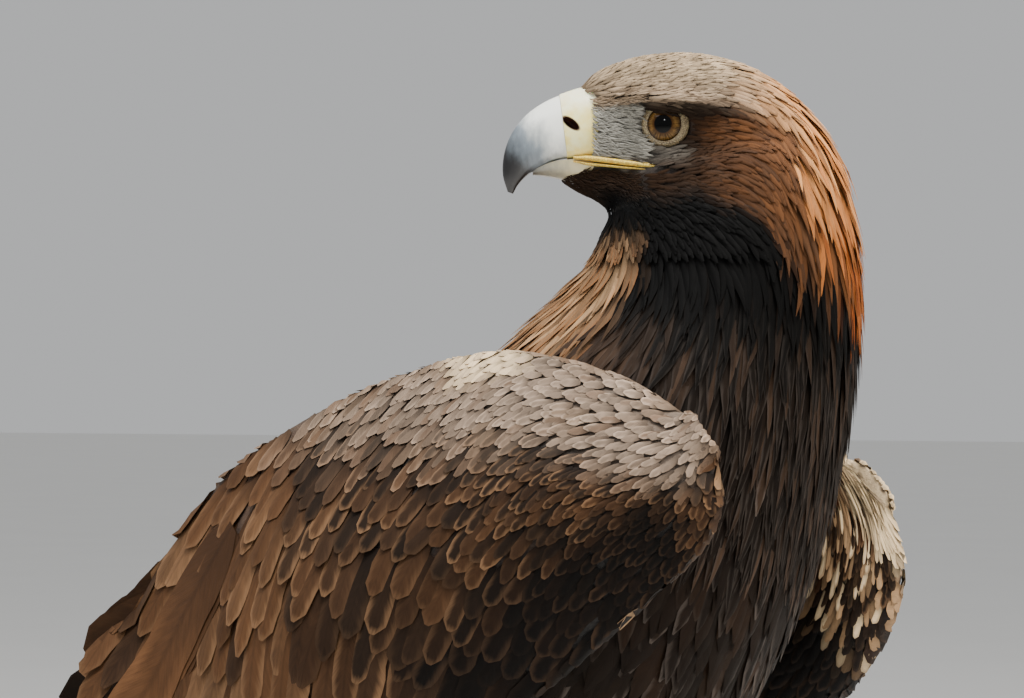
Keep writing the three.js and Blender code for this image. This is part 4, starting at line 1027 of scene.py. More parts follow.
@dataclass
class Body:
    """The skin of the whole bird, and the feathers of its head, neck, trunk and legs."""

    bench: Bench
    trunk: Trunk
    head: HeadForm
    legs: Sequence[LegForm]
    wings: Sequence[WingForm]
    nape: tuple = (  # x and z of the hind edge in the head's frame, radius
        (-52, 12, 27), (-67, -6, 32), (-74, -26, 40),
        (-77, -48, 47), (-76, -72, 52), (-74, -96, 58),
    )
    nape_flat: float = 0.94
    brow: tuple = (  # x, z, how far off the cheek, radius
        (25, 8.6, -1.2, 2.4), (17, 9.0, 1.6, 3.8), (8, 9.2, 4.0, 4.4),
        (-2, 8.9, 4.4, 4.4), (-12, 7.3, 2.4, 3.8), (-22, 4.6, -1.2, 2.8),
    )
    chin: tuple = ((19, -24, 10), (29, -23.6, 6.8), (38, -21.8, 4.6), (45, -20.4, 1.8))  # x, z, radius
    forehead: tuple = ((26, 12, 8), (33, 12.4, 5), (39.5, 13.4, 1.8))
    grain: float = 2.65
    body_depth: float = 3.0
    face_depth: float = 1.9
    wing_depth: float = 1.7
    rim: float = 1.5
    socket: float = 3.4
    far: float = 6.0

    def nape_rings(self) -> Array:
        """The hind neck as rings of points."""
        x, z, radius = curves_of(self.nape)
        station, turn = ring_grid(0, len(self.nape) - 1, 20, 32)
        wide = radius(station) - 1.5
        return self.head.at(x(station) + radius(station) - wide * np.cos(turn),
                            wide * self.nape_flat * np.sin(turn), z(station))

    def brow_rings(self, side: Side) -> Array:
        """One brow as rings of points."""
        x, z, off, radius = curves_of(self.brow)
        station, turn = ring_grid(0, len(self.brow) - 1, 20, 16)
        aside = self.head.cheek(x(station), z(station)) + off(station) + radius(station) * np.cos(turn)
        return self.head.at(x(station), side.value * aside, z(station) + radius(station) * np.sin(turn))

    def snout_rings(self, stations: tuple, flat: float) -> Array:
        """The feathered chin or forehead, which reaches out along the bill, as rings of points."""
        x, z, radius = curves_of(stations)
        station, turn = ring_grid(0, len(stations) - 1, 12, 16)
        size = radius(station)
        return self.head.at(x(station), flat * size * np.sin(turn), z(station) + size * np.cos(turn))

    def parts(self) -> list[tuple[Region, Array]]:
        """The forms that carry the feathers of the body."""
        right, left = self.legs
        return [
            (Region.TRUNK, self.trunk.ring_points()),
            (Region.HEAD, self.head.ring_points()),
            (Region.NAPE, self.nape_rings()),
            (Region.HEAD, self.brow_rings(Side.RIGHT)),
            (Region.HEAD, self.brow_rings(Side.LEFT)),
            (Region.HEAD, self.snout_rings(self.chin, 1.95)),
            (Region.HEAD, self.snout_rings(self.forehead, 1.2)),
            (Region.THIGH_RIGHT, right.thigh_rings()),
            (Region.THIGH_LEFT, left.thigh_rings()),
            (Region.SHANK_RIGHT, right.shank_rings()),
            (Region.SHANK_LEFT, left.shank_rings()),
        ]

    def melt(self, name: str, pieces: Sequence[Piece]) -> Piece:
        """Melts closed bodies that cross into one smooth skin."""
        piece = self.bench.join(name, pieces)
        self.bench.modify(piece, "REMESH", mode="VOXEL", voxel_size=self.grain * MM, use_smooth_shade=True)
        self.bench.modify(piece, "SMOOTH", factor=0.5, iterations=4)
        return piece

    def build_ground(self) -> None:
        """Makes the mesh that the body's feathers grow on, and reads where each of its points lies."""
        parts = self.parts()
        self.form = self.melt("form", [self.bench.ring_body("form", rings) for _, rings in parts])
        ground = self.ground = Ground(self.bench, self.form)
        points = ground.points
        sources = np.concatenate([rings.reshape(-1, 3) for _, rings in parts])
        labels = np.concatenate([np.full(rings[..., 0].size, region.number) for region, rings in parts])
        self.label = labels[nearest_of(sources, points)]
        self.x, self.y, self.z = self.head.own(points)
        self.station = self.trunk.station_near(points)
        middle = place(self.trunk.forward(self.station), 0, self.trunk.up(self.station))
        ahead = self.trunk.ahead(self.station)
        back = np.stack([ahead[:, 0] * 0, ahead[:, 2], -ahead[:, 1]], axis=1)
        self.turn = np.degrees(np.arctan2(points[:, 0], dots(points - middle, back)))
        self.off_spine = np.abs(self.turn)
        near_head = np.isin(self.label, HEADS) | (self.z > -110)
        self.neck = np.where(near_head, ease(-30, -78, self.z), 1.0)
        self.flow = ground.smooth(self.flow_field(points, ahead), 30)

    def flow_field(self, points: Array, ahead: Array) -> Array:
        """The way that the feathers lie at each point, before it is smoothed."""
        head = self.head
        droop = ease(-14, -62, self.x)
        throat = ease(-18, -48, self.z) * ease(-50, 10, self.x)
        back = (
            -head.ahead * (1 - 0.9 * droop)[:, None]
            - UP * (0.12 + 1.4 * droop + 0.9 * throat)[:, None]
        )
        flow = lerp(back, -ahead, self.neck[:, None])
        for leg in self.legs:
            for part, start, end, back in leg.parts():
                down = leg.line(start, end, 1.0) - leg.line(start, end, 0.0) - place(back, 0, 0)
                flow[self.label == Region[part].number] = unit(down)
        flow = unit(flow)
        return unit(flow - self.ground.normals * dots(flow, self.ground.normals)[:, None])

    def build_skin(self, finish: Finish) -> Piece:
        """Makes the one skin that every feather stands on."""
        form = self.bench.copy("skin", self.form)
        cores = [self.bench.ring_body("core", wing.ring_points(self.rim)) for wing in self.wings]
        skin = self.melt("skin", [form, *cores])
        reader = Ground(self.bench, skin)
        x, _, z = self.head.own(reader.points)
        face = ease(-60, 10, x) * ease(-60, -20, z)
        depth = lerp(self.body_depth, self.face_depth, face)
        off = np.linalg.norm(self.ground.nearest(reader.points)[0] - reader.points, axis=1)
        depth = np.where(off > self.far, self.wing_depth, depth)
        for side in Side:
            off, along = self.head.off_gaze(side, reader.points)
            depth += self.socket * ease(10.8, 7.5, off) * (np.abs(along) < 16) * ease(8, 5, z)
        self.bench.put(skin, reader.points - reader.normals * depth[:, None])
        self.skin = Ground(self.bench, skin)
        finish.dress(skin)
        self.piece = skin
        limbs = [f"{part}_{side.word}" for part in ("thigh", "shank") for side in Side]
        hang("breast_feathers", [skin], "head", "neck", "torso", *limbs)
        return skin

    def flats(self, corners: Array, shares: Array) -> Array:
        """The places on the unwrap of places on the body."""
        ground = self.ground
        label = self.label[corners[:, 0]]
        points = ground.blend(ground.points, corners, shares)
        x, y, z = self.head.own(points)
        around = np.arctan2(y, z + 8) / (2 * np.pi) + 0.5
        result = Region.HEAD.flat(around, (x + 75) / 115)
        nape = Region.NAPE.flat(np.arctan2(y, -(x + 25)) / (2 * np.pi) + 0.5, (z + 110) / 130)
        turn = ground.blend(self.turn, corners, shares)
        trunk = Region.TRUNK.flat(turn / 360 + 0.5, ground.blend(self.station, corners, shares) / 10)
        result = np.where((label == Region.NAPE.number)[:, None], nape, result)
        result = np.where((label == Region.TRUNK.number)[:, None], trunk, result)
        for leg in self.legs:
            aside = points[:, 0] - leg.side.value * leg.apart
            for part, start, end, _ in leg.parts():
                middle = lerp(start[0], end[0], 0.5)
                around = np.arctan2(aside, -points[:, 1] - middle) / (2 * np.pi) + 0.5
                region = Region[part]
                along = (points[:, 2] - end[1] + 20) / (start[1] - end[1] + 60)
                result = np.where((label == region.number)[:, None], region.flat(around, along), result)
        return result

    def grow(self, vane: Vane, gaps: Array, long: Array, half: Array, coat: Coat,
             colour: Callable[[Array, Roots], Trio],
             slope: float, sunk: float, stray: float) -> None:
        """Grows feathers on the body and adds them to a coat.

        Args:
            vane: the feathers' shape.
            gaps: how far apart they are, at each vertex.
            long: how long they are there.
            half: half of their width there.
            coat: the coat that they belong to.
            colour: gives the vane's colour, the rim's and the rim's strength.
            slope: how fast they rise off the surface.
            sunk: how deep the roots are.
            stray: degrees by which they lie astray.
        """
        ground, draws = self.ground, coat.draws
        corners, shares = ground.scatter(gaps, draws)
        roots = ground.blend(ground.points, corners, shares)
        spots, near, parts = self.skin.nearest(roots)
        outward = dots(roots - spots, self.skin.blend(self.skin.normals, near, parts))
        keep = outward > -1.0
        corners, shares, roots = corners[keep], shares[keep], roots[keep]
        count = len(roots)
        if not count:
            return
        lengths = ground.blend(long, corners, shares) * draws.uniform(0.84, 1.12, count)
        halves = ground.blend(half, corners, shares) * draws.uniform(0.88, 1.1, count)
        astray = np.radians(draws.normal(0, stray, count))
        rows = vane.rows
        line, across, out = (np.empty((count, rows, 3)) for _ in range(3))
        spot, near, parts = roots, corners, shares
        rise = slope * draws.uniform(0.85, 1.2, count)
        for row in range(rows):
            normal = unit(ground.blend(ground.normals, near, parts))
            way = ground.blend(self.flow, near, parts)
            way = unit(way - normal * dots(way, normal)[:, None])
            aside = np.cross(way, normal)
            way = way * np.cos(astray)[:, None] + aside * np.sin(astray)[:, None]
            line[:, row] = spot + normal * (rise * lengths * row / (rows - 1) - sunk)[:, None]
            across[:, row] = np.cross(way, normal)
            out[:, row] = normal
            if row + 1 < rows:
                spot, near, parts = ground.nearest(spot + way * (lengths / (rows - 1))[:, None])

        def sheet(reach: Array) -> Array:
            """Points at reaches across the vanes."""
            return line[:, :, None] + reach[..., None] * across[:, :, None]

        hues = colour(roots, Roots(self, corners, shares))
        coat.add(Feathers(vane, sheet, out, halves, lengths, *hues, self.flats(corners, shares)))


@dataclass
class Roots:
    """Where the roots of some feathers lie on the body."""

    body: Body
    corners: Array
    shares: Array

    def read(self, name: str) -> Array:
        """A field of the body at the roots."""
        return self.body.ground.blend(getattr(self.body, name), self.corners, self.shares)


# The look of each surface


@dataclass(frozen=True)
class Val:
    """A number in a shader, with the usual signs for sums."""

    graph: Graph
    source: object

    def _do(self, operation: str, *others: object) -> Val:
        """The result of a sum of this number and others."""
        return self.graph.math(operation, self, *others)

    def __add__(self, other: object) -> Val:
        """The sum."""
        return self._do("ADD", other)

    __radd__ = __add__

    def __sub__(self, other: object) -> Val:
        """The difference."""
        return self._do("SUBTRACT", other)

    def __rsub__(self, other: object) -> Val:
        """The difference the other way round."""
        return self.graph.math("SUBTRACT", other, self)

    def __mul__(self, other: object) -> Val:
        """The product."""
        return self._do("MULTIPLY", other)

    __rmul__ = __mul__

    def __truediv__(self, other: object) -> Val:
        """The quotient."""
        return self._do("DIVIDE", other)

    def abs(self) -> Val:
        """The size without its sign."""
        return self._do("ABSOLUTE")

    def ease(self, low: float, high: float) -> Val:
        """0 below low, 1 above high, and a smooth rise between them."""
        node = self.graph.node("ShaderNodeMapRange", {"interpolation_type": "SMOOTHSTEP"}, Value=self)
        flip = low > high
        node.inputs["From Min"].default_value = min(low, high)
        node.inputs["From Max"].default_value = max(low, high)
        node.inputs["To Min"].default_value = 1.0 if flip else 0.0
        node.inputs["To Max"].default_value = 0.0 if flip else 1.0
        return Val(self.graph, node.outputs["Result"])


class Graph:
    """One material and the nodes that make it."""

    def __init__(self, name: str, roughness: float = 0.5, **settings: float) -> None:
        """Starts a material.

        Args:
            name: its name.
            roughness: the shader's roughness.
            settings: other even numbers of the shader, with spaces as underscores.
        """
        self.material = bpy.data.materials.new(name)
        self.material.use_nodes = True
        self.tree = self.material.node_tree
        self.shader = self.tree.nodes["Principled BSDF"]
        self.shader.inputs["Roughness"].default_value = roughness
        for key, value in settings.items():
            self.shader.inputs[key.replace("_", " ")].default_value = value

    def node(self, kind: str, settings: dict[str, object] | None = None, **inputs: object) -> bpy.types.Node:
        """Adds a node.

        Args:
            kind: the node's type.
            settings: its settings, set before its sockets.
            inputs: values or sources of its sockets, with spaces as underscores.

        Returns:
            The node.
        """
        made = self.tree.nodes.new(kind)
        for key, value in (settings or {}).items():
            setattr(made, key, value)
        for key, value in inputs.items():
            self.feed(made.inputs[key.replace("_", " ")], value)
        return made

    def feed(self, socket: bpy.types.NodeSocket, value: object) -> None:
        """Gives a socket a value, or links a source to it."""
        value = value.source if isinstance(value, Val) else value
        if isinstance(value, bpy.types.NodeSocket):
            self.tree.links.new(value, socket)
        elif isinstance(value, tuple) and len(value) == 3 and socket.type == "RGBA":
            socket.default_value = (*value, 1.0)
        else:
            socket.default_value = value

    def math(self, operation: str, *values: object) -> Val:
        """One sum on numbers."""
        made = self.node("ShaderNodeMath", {"operation": operation})
        for socket, value in zip(made.inputs, values):
            self.feed(socket, value)
        return Val(self, made.outputs[0])

    def vector(self, operation: str, *values: object) -> bpy.types.NodeSocket:
        """One sum on vectors."""
        made = self.node("ShaderNodeVectorMath", {"operation": operation})
        scaled = operation == "SCALE"
        sockets = [made.inputs[0], made.inputs["Scale"]] if scaled else made.inputs
        for socket, value in zip(sockets, values):
            self.feed(socket, value)
        return made.outputs["Value" if operation in ("DOT_PRODUCT", "LENGTH") else "Vector"]

    def mix(self, share: object, low: object, high: object, blend: str = "MIX") -> bpy.types.NodeSocket:
        """A colour between two others."""
        made = self.node("ShaderNodeMix", {"data_type": "RGBA", "blend_type": blend})
        colours = [socket for socket in made.inputs if socket.type == "RGBA"]
        self.feed(made.inputs["Factor"], share)
        self.feed(colours[0], low)
        self.feed(colours[1], high)
        return next(socket for socket in made.outputs if socket.type == "RGBA")

    def dot(self, vector: bpy.types.NodeSocket, way: Spot) -> Val:
        """How far a vector reaches along a direction."""
        return Val(self, self.vector("DOT_PRODUCT", vector, way))

    def place(self) -> bpy.types.NodeSocket:
        """The place on the object, in millimetres."""
        return self.vector("SCALE", self.node("ShaderNodeTexCoord").outputs["Object"], 1 / MM)

    def noise(self, vector: bpy.types.NodeSocket, size: float, detail: float = 3.0) -> Val:
        """A cloudy field from 0 to 1, with patches of a size in millimetres."""
        made = self.node("ShaderNodeTexNoise", Vector=vector, Scale=1 / size, Detail=detail)
        return Val(self, made.outputs["Fac"])

    def attribute(self, name: str) -> bpy.types.Node:
        """Reads an attribute of the mesh."""
        return self.node("ShaderNodeAttribute", {"attribute_name": name})

    def split(self, vector: bpy.types.NodeSocket) -> tuple[Val, Val, Val]:
        """The three parts of a vector."""
        made = self.node("ShaderNodeSeparateXYZ", Vector=vector)
        return tuple(Val(self, socket) for socket in made.outputs)

    def join(self, x: object, y: object, z: object) -> bpy.types.NodeSocket:
        """A vector from three numbers."""
        return self.node("ShaderNodeCombineXYZ", X=x, Y=y, Z=z).outputs[0]

    def finish(self, colour: object, roughness: object = None, height: Val | None = None,
               tall: float = 0.2) -> bpy.types.Material:
        """Feeds the shader.

        Args:
            colour: its base colour.
            roughness: its roughness, where it varies.
            height: the height for its bumps, from 0 to 1.
            tall: how tall the bumps are, in millimetres.

        Returns:
            The material.
        """
        self.feed(self.shader.inputs["Base Color"], colour)
        if roughness is not None:
            self.feed(self.shader.inputs["Roughness"], roughness)
        if height is not None:
            bump = self.node("ShaderNodeBump", Height=height, Distance=tall * MM)
            self.tree.links.new(bump.outputs["Normal"], self.shader.inputs["Normal"])
        return self.material


class Finish:
    """What a surface looks like."""

    def material(self) -> bpy.types.Material:
        """Makes the material."""
        raise NotImplementedError

    def dress(self, *pieces: Piece) -> None:
        """Puts the material on pieces."""
        material = self.material()
        for piece in pieces:
            piece.data.materials.clear()
            piece.data.materials.append(material)


@dataclass(frozen=True)
class Plumage(Finish):
    """Feathers with barbs, a shaft, a paler or darker rim and a root darkened partly by painted shade. Each
    feather brings its own colours.
    """

    name: str
    roughness: float = 0.62
    barb: float = 0.5
    gloss: float = 0.08

    def material(self) -> bpy.types.Material:
        """Makes the material."""
        graph = Graph(self.name, self.roughness, Specular_IOR_Level=self.gloss)
        uv = graph.node("ShaderNodeUVMap", {"uv_map": "Vane"})
        across, along, _ = graph.split(uv.outputs["UV"])
        long, half, seed = graph.split(graph.attribute("span").outputs["Vector"])
        tint, rim = graph.attribute("tint"), graph.attribute("rim")
        chance, strength = Val(graph, tint.outputs["Alpha"]), Val(graph, rim.outputs["Alpha"])
        aside = (across - 0.5).abs() * 2
        slanted = along * long - aside * half * 1.5
        barbs = graph.noise(graph.join(slanted / self.barb, aside * half * 0.12, seed), 1.0, 2.0)
        fleck = graph.noise(graph.join(slanted / 3.5, aside * half / 5, seed + 20), 1.0, 2.0)
        cloud = graph.noise(graph.place(), 22.0)
        edge = 1 - aside
        tip = (1 - along) * long
        border = half * 0.32 + 0.35
        wavy = border * (0.5 + fleck)
        near_edge = graph.math("MINIMUM", edge * half, tip * 0.9)
        mask = (near_edge / wavy).ease(1.6, 0.2) * along.ease(0.2, 0.6) * strength
        shade = 0.6 + barbs * 0.55 + (fleck - 0.5) * 0.55 + (chance - 0.5) * 0.4 + (cloud - 0.5) * 0.3
        # Darker towards each feather's root: partly the feathers' own darker bases, partly painted shade
        # where the feather above overlaps it.
        shade = shade * (0.5 + along.ease(0.0, 0.6) * 0.56)
        base = graph.mix(mask, tint.outputs["Color"], rim.outputs["Color"])
        shaded = graph.mix(1.0, base, graph.join(shade, shade, shade), "MULTIPLY")
        shaft = aside.ease(0.16, 0.02) * half.ease(2.0, 7.0) * 0.4
        colour = graph.mix(shaft, shaded, graph.mix(0.5, shaded, srgb(24, 18, 14)))
        return graph.finish(colour, 0.5 + barbs * 0.3, barbs * 0.8 + shaft * 0.5, 0.12)


@dataclass(frozen=True)
class SkinFinish(Finish):
    """The down under the feathers, with their colours, painted shade and light included."""

    name: str = "down"

    def material(self) -> bpy.types.Material:
        """Makes the material."""
        graph = Graph(self.name, 0.85)
        where = graph.place()
        fine, cloud = graph.noise(where, 1.2), graph.noise(where, 14.0)
        tint = graph.attribute("tint").outputs["Color"]
        shade = 0.3 + fine * 0.35 + cloud * 0.2
        colour = graph.mix(1.0, tint, graph.join(shade, shade, shade), "MULTIPLY")
        return graph.finish(colour, None, fine, 0.5)


@dataclass(frozen=True)
class ScaleSkin(Finish):
    """Bare skin with fine scales, such as the cere's and the feet's."""

    name: str
    pale: Colour
    deep: Colour
    grain: float = 2.2
    roughness: float = 0.42
    tall: float = 0.35

    def material(self) -> bpy.types.Material:
        """Makes the material."""
        graph = Graph(self.name, self.roughness, Subsurface_Weight=0.08, Coat_Weight=0.12)
        where = graph.place()
        cells = graph.node("ShaderNodeTexVoronoi", {"feature": "DISTANCE_TO_EDGE"}, Vector=where,
                           Scale=1 / self.grain)
        crack = Val(graph, cells.outputs["Distance"]).ease(0.0, 0.16)
        cloud = graph.noise(where, 9.0)
        fine = graph.noise(where, 0.6)
        share = crack * 0.55 + cloud * 0.5
        colour = graph.mix(share.ease(0.2, 0.9), self.deep, self.pale)
        return graph.finish(colour, 0.34 + fine * 0.25, crack * 0.75 + fine * 0.25, self.tall)


@dataclass(frozen=True)
class CereFinish(Finish):
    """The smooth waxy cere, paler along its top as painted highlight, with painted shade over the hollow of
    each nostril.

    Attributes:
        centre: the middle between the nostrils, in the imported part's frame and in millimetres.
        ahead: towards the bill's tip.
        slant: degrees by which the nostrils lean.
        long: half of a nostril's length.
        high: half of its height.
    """

    centre: Spot
    ahead: Spot
    slant: float
    long: float
    high: float
    name: str = "cere"

    def material(self) -> bpy.types.Material:
        """Makes the material."""
        graph = Graph(self.name, 0.4, Subsurface_Weight=0.1, Coat_Weight=0.15)
        where = graph.place()
        offset = graph.vector("SUBTRACT", where, self.centre)
        ahead = graph.dot(offset, self.ahead)
        rise = graph.dot(offset, (0, 0, 1))
        cos, sin = math.cos(math.radians(self.slant)), math.sin(math.radians(self.slant))
        along = (ahead * cos + rise * sin) / self.long
        across = (rise * cos - ahead * sin) / self.high
        off = along * along + across * across
        cloud, fine = graph.noise(where, 5.0), graph.noise(where, 0.8)
        colour = graph.mix(cloud.ease(0.3, 0.7), srgb(254, 246, 186), srgb(246, 224, 130))
        colour = graph.mix(ahead.ease(-1.0, -9.0) * 0.5, colour, srgb(232, 204, 104))
        # Paler to near white along the top of the cere: painted highlight.
        colour = graph.mix(rise.ease(2.0, 12.0) * 0.6, colour, srgb(250, 248, 230))
        # Dark brown over each nostril's hollow and just round it: painted shade.
        colour = graph.mix(off.ease(1.7, 0.95), colour, srgb(58, 34, 20))
        return graph.finish(colour, 0.36 + fine * 0.2, cloud * 0.6 + fine * 0.3, 0.12)


@dataclass(frozen=True)
class Horn(Finish):
    """Horn that darkens towards its tip, with fine growth lines.

    Attributes:
        start: a place where it is pale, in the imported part's frame and in millimetres.
        way: the direction in which it darkens.
        reach: over how many millimetres.
    """

    name: str
    pale: Colour
    middle: Colour
    dark: Colour
    start: Spot
    way: Spot
    reach: float
    roughness: float = 0.3

    def material(self) -> bpy.types.Material:
        """Makes the material."""
        graph = Graph(self.name, self.roughness, Coat_Weight=0.25, Coat_Roughness=0.15)
        where = graph.place()
        offset = graph.vector("SUBTRACT", where, self.start)
        along = graph.dot(offset, self.way) / self.reach
        streaks = graph.noise(graph.vector("MULTIPLY", where, (1.0, 1.0, 0.35)), 1.6, 4.0)
        cloud = graph.noise(where, 8.0)
        share = along + (cloud - 0.5) * 0.35 + (streaks - 0.5) * 0.16
        colour = graph.mix(share.ease(0.25, 0.7), self.pale, self.middle)
        colour = graph.mix(share.ease(0.6, 1.05), colour, self.dark)
        return graph.finish(colour, 0.22 + streaks * 0.22, streaks, 0.08)


@dataclass(frozen=True)
class EyeFinish(Finish):
    """A wet eye with a dark pupil and a brown iris.

    Attributes:
        centre: the ball's middle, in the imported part's frame and in millimetres.
        way: where the eye looks.
    """

    name: str
    centre: Spot
    way: Spot
    iris: float = 7.1
    pupil: float = 3.7

    def material(self) -> bpy.types.Material:
        """Makes the material."""
        graph = Graph(self.name, 0.06, Specular_IOR_Level=0.14)
        offset = graph.vector("SUBTRACT", graph.place(), self.centre)
        along = graph.dot(offset, self.way)
        flat = graph.vector("SUBTRACT", offset, graph.vector("SCALE", self.way, along))
        off = Val(graph, graph.vector("LENGTH", flat))
        spokes = graph.noise(graph.vector("NORMALIZE", flat), 0.06, 3.0)
        rings = graph.noise(flat, 1.3)
        hue = graph.mix((spokes * 0.7 + rings * 0.5).ease(0.35, 0.9), srgb(44, 31, 15), srgb(128, 96, 52))
        hue = graph.mix(off.ease(self.pupil, self.pupil + 1.6), srgb(64, 42, 19), hue)
        hue = graph.mix(off.ease(self.iris - 1.5, self.iris), hue, srgb(40, 30, 20))
        hue = graph.mix(off.ease(self.pupil + 0.25, self.pupil - 0.25), hue, srgb(8, 8, 8))
        hue = graph.mix(off.ease(self.iris, self.iris + 0.8), hue, srgb(16, 12, 10))
        return graph.finish(hue)


@dataclass(frozen=True)
class FloorFinish(Finish):
    """A pale, even studio floor."""

    name: str = "floor"

    def material(self) -> bpy.types.Material:
        """Makes the material."""
        graph = Graph(self.name, 0.8)
        cloud = graph.noise(graph.place(), 300.0)
        return graph.finish(graph.mix(cloud, srgb(232, 231, 228), srgb(238, 237, 234)))


# Colours of the plumage

CROWN, CROWN_DARK, CROWN_GOLD = srgb(148, 128, 106), srgb(70, 54, 42), srgb(178, 128, 84)
GOLD_TOP, GOLD, GOLD_PALE, RUFOUS = srgb(214, 152, 96), srgb(124, 62, 24), srgb(160, 98, 50), srgb(66, 38, 20)
CHEEK, EAR, THROAT, LORE = srgb(46, 33, 23), srgb(104, 68, 42), srgb(6, 5, 4), srgb(176, 173, 162)
BREAST, SHEEN, CREAM, DUSK = srgb(27, 21, 16), srgb(78, 71, 66), srgb(226, 200, 160), srgb(64, 50, 40)
# The first of these is the painted shadow under the brow ridge.
BROW_SHADOW, MANTLE, MANTLE_PALE = srgb(30, 22, 16), srgb(118, 92, 68), srgb(178, 144, 108)
SCALE_GREY, SCALE_WARM, SCALE_RIM = srgb(121, 105, 91), srgb(118, 98, 80), srgb(164, 144, 126)
COVERT_DARK, COVERT_BROWN, COVERT_RIM = srgb(36, 28, 22), srgb(84, 59, 40), srgb(122, 93, 68)
# The last of these is a near black for painted shade.
FLIGHT_DARK, FLIGHT_BROWN, SHADE_BLACK = srgb(24, 18, 14), srgb(52, 36, 25), srgb(10, 8, 7)


@dataclass
class BodyCoat:
    """The feathers of the head, neck, trunk and legs."""

    body: Body
    finish: Finish
    breast_span: Span = (2.5, 9.7)  # the trunk's stations with contour feathers
    bare_to: float = 26.0  # the height up to which a leg is bare
    gold_edge: Curve = curve(  # z, x ahead of which nothing is golden
        (-76, -96), (-64, -80), (-53, -70), (-45, -64), (-37, -59), (-24, -54), (-8, -46), (10, -40),
        (25, -30),
    )

    def __post_init__(self) -> None:
        """Draws the patches in the plumage."""
        self.patch = Speckle(26, 5)
        self.fleck = Speckle(7, 6)

    def head_colours(self, points: Array, roots: Roots) -> Trio:
        """Colours of the head's and the neck's feathers."""
        x, _, z = self.body.head.own(points)
        patch, fleck, one = self.patch(points), self.fleck(points), np.ones(len(points))
        turn = roots.read("off_spine")
        chance = np.random.default_rng(13).random(len(points))
        rear_crown = ease(-14, -38, x) * ease(-4, 12, z)
        # The crown turns paler towards the top of the head: painted top light.
        crown = mixed((one, CROWN), (ease(-0.4, 0.6, fleck) * 0.6, CROWN_DARK),
                      (ease(10, 24, z) * 0.3, CREAM), (rear_crown * 0.85, CROWN_GOLD))
        ear = ease(-6, -14, x) * ease(-12, -2, z)
        cheek = mixed((one, CHEEK), (ease(-2, -34, x) * 0.7, EAR), (ear * 0.5, EAR),
                      (ease(0, 0.9, fleck) * 0.4, CROWN_DARK))
        gold = mixed((one, GOLD_TOP), (ease(2, -30, z), GOLD), (ease(-0.1, 0.9, fleck) * 0.8, GOLD_PALE),
                     (ease(0.55, 1, chance) * 0.8, RUFOUS))
        # Low on the neck some black feathers turn dusky: partly their own tone, partly painted sheen.
        black = mixed((one, THROAT), (ease(-58, -92, z) * 0.85, BREAST),
                      (ease(0.6, 1, chance) * ease(-50, -90, z), DUSK))
        mantle = mixed((one, MANTLE), (ease(0, 0.8, fleck) * 0.8, MANTLE_PALE),
                       (ease(0.7, 1, chance) * 0.6, DUSK))
        tint = over(cheek, crown, ease(2, 8, z + 1.5 * fleck + 0.12 * np.minimum(x + 8, 0)))
        below = ease(-22, -31, z - 0.22 * np.minimum(x, 0) + 3 * patch)
        tint = over(tint, black, below)
        side = ease(104, 76, turn + 8 * patch) * ease(-56, -80, z)
        tint = over(tint, DUSK, side * 0.7)
        back_side = ease(70, 58, turn + 6 * fleck) * ease(-36, -50, z)
        tint = over(tint, mantle, back_side)
        hind = ease(3, -5, x - self.gold_edge(z) + 4 * patch) * (1 - back_side)
        hind = hind * ease(-82, -64, z + 8 * fleck)
        tint = over(tint, gold, hind)
        # A dark band under the brow ridge, over and behind the eye: painted shadow of the ridge.
        brow = ease(1.5, 4, z) * ease(10.5, 7.5, z) * ease(24, 16, x) * ease(-34, -16, x)
        tint = over(tint, BROW_SHADOW, brow * 0.9)
        lore = ease(8, 14, x + 2 * fleck) * ease(-18, -13, z + 2 * fleck) * ease(9, 6, z)
        lore = np.maximum(lore, 0.22 * ease(-7, 4, x + 2 * fleck) * ease(-19, -13, z) * ease(-6, -9, z))
        tint = over(tint, np.array(LORE) * (0.85 + 0.2 * fleck[:, None]), lore)
        warm = np.maximum(hind, back_side)
        rim = over(tint * 0.45, np.array(SHEEN) * 0.7, below)
        rim = over(rim, np.array(GOLD_PALE) * (0.6 + 0.5 * chance[:, None]), warm)
        strength = lerp(0.55 + 0.2 * fleck, 0.5 * ease(-50, -90, z), below)
        return tint, rim, lerp(strength, 0.5 + 0 * z, warm)

    def trunk_colours(self, points: Array, roots: Roots) -> Trio:
        """Colours of the trunk's feathers."""
        patch, fleck, one = self.patch(points), self.fleck(points), np.ones(len(points))
        turn = roots.read("off_spine")
        chance = np.random.default_rng(11).random(len(points))
        tint = mixed((one, BREAST), (ease(0.1, 1.2, patch) * 0.5, CHEEK), (ease(0.9, 1, chance) * 0.6, DUSK))
        back = mixed((one, COVERT_DARK), (ease(0, 1, fleck) * 0.7, COVERT_BROWN))
        share = ease(80, 50, turn)
        tint = over(tint, back, share)
        rim = over(np.array(SHEEN) * (0.8 + 0.5 * chance[:, None]), COVERT_RIM, share)
        return tint, rim, lerp(0.6 * ease(0.5, 0.9, chance), 0.6, share)

    def leg_colours(self, points: Array, roots: Roots) -> Trio:
        """Colours of the legs' feathers, paler towards the feet."""
        patch, fleck = self.patch(points), self.fleck(points)
        low = ease(190, 70, points[:, 2] + 14 * patch)
        tint = mixed((1 + 0 * patch, CHEEK), (ease(0, 1, fleck) * 0.5, EAR),
                     (low * 0.6, MANTLE_PALE))
        return tint, np.clip(tint * 1.6, 0, 1), 0.4 + 0 * patch

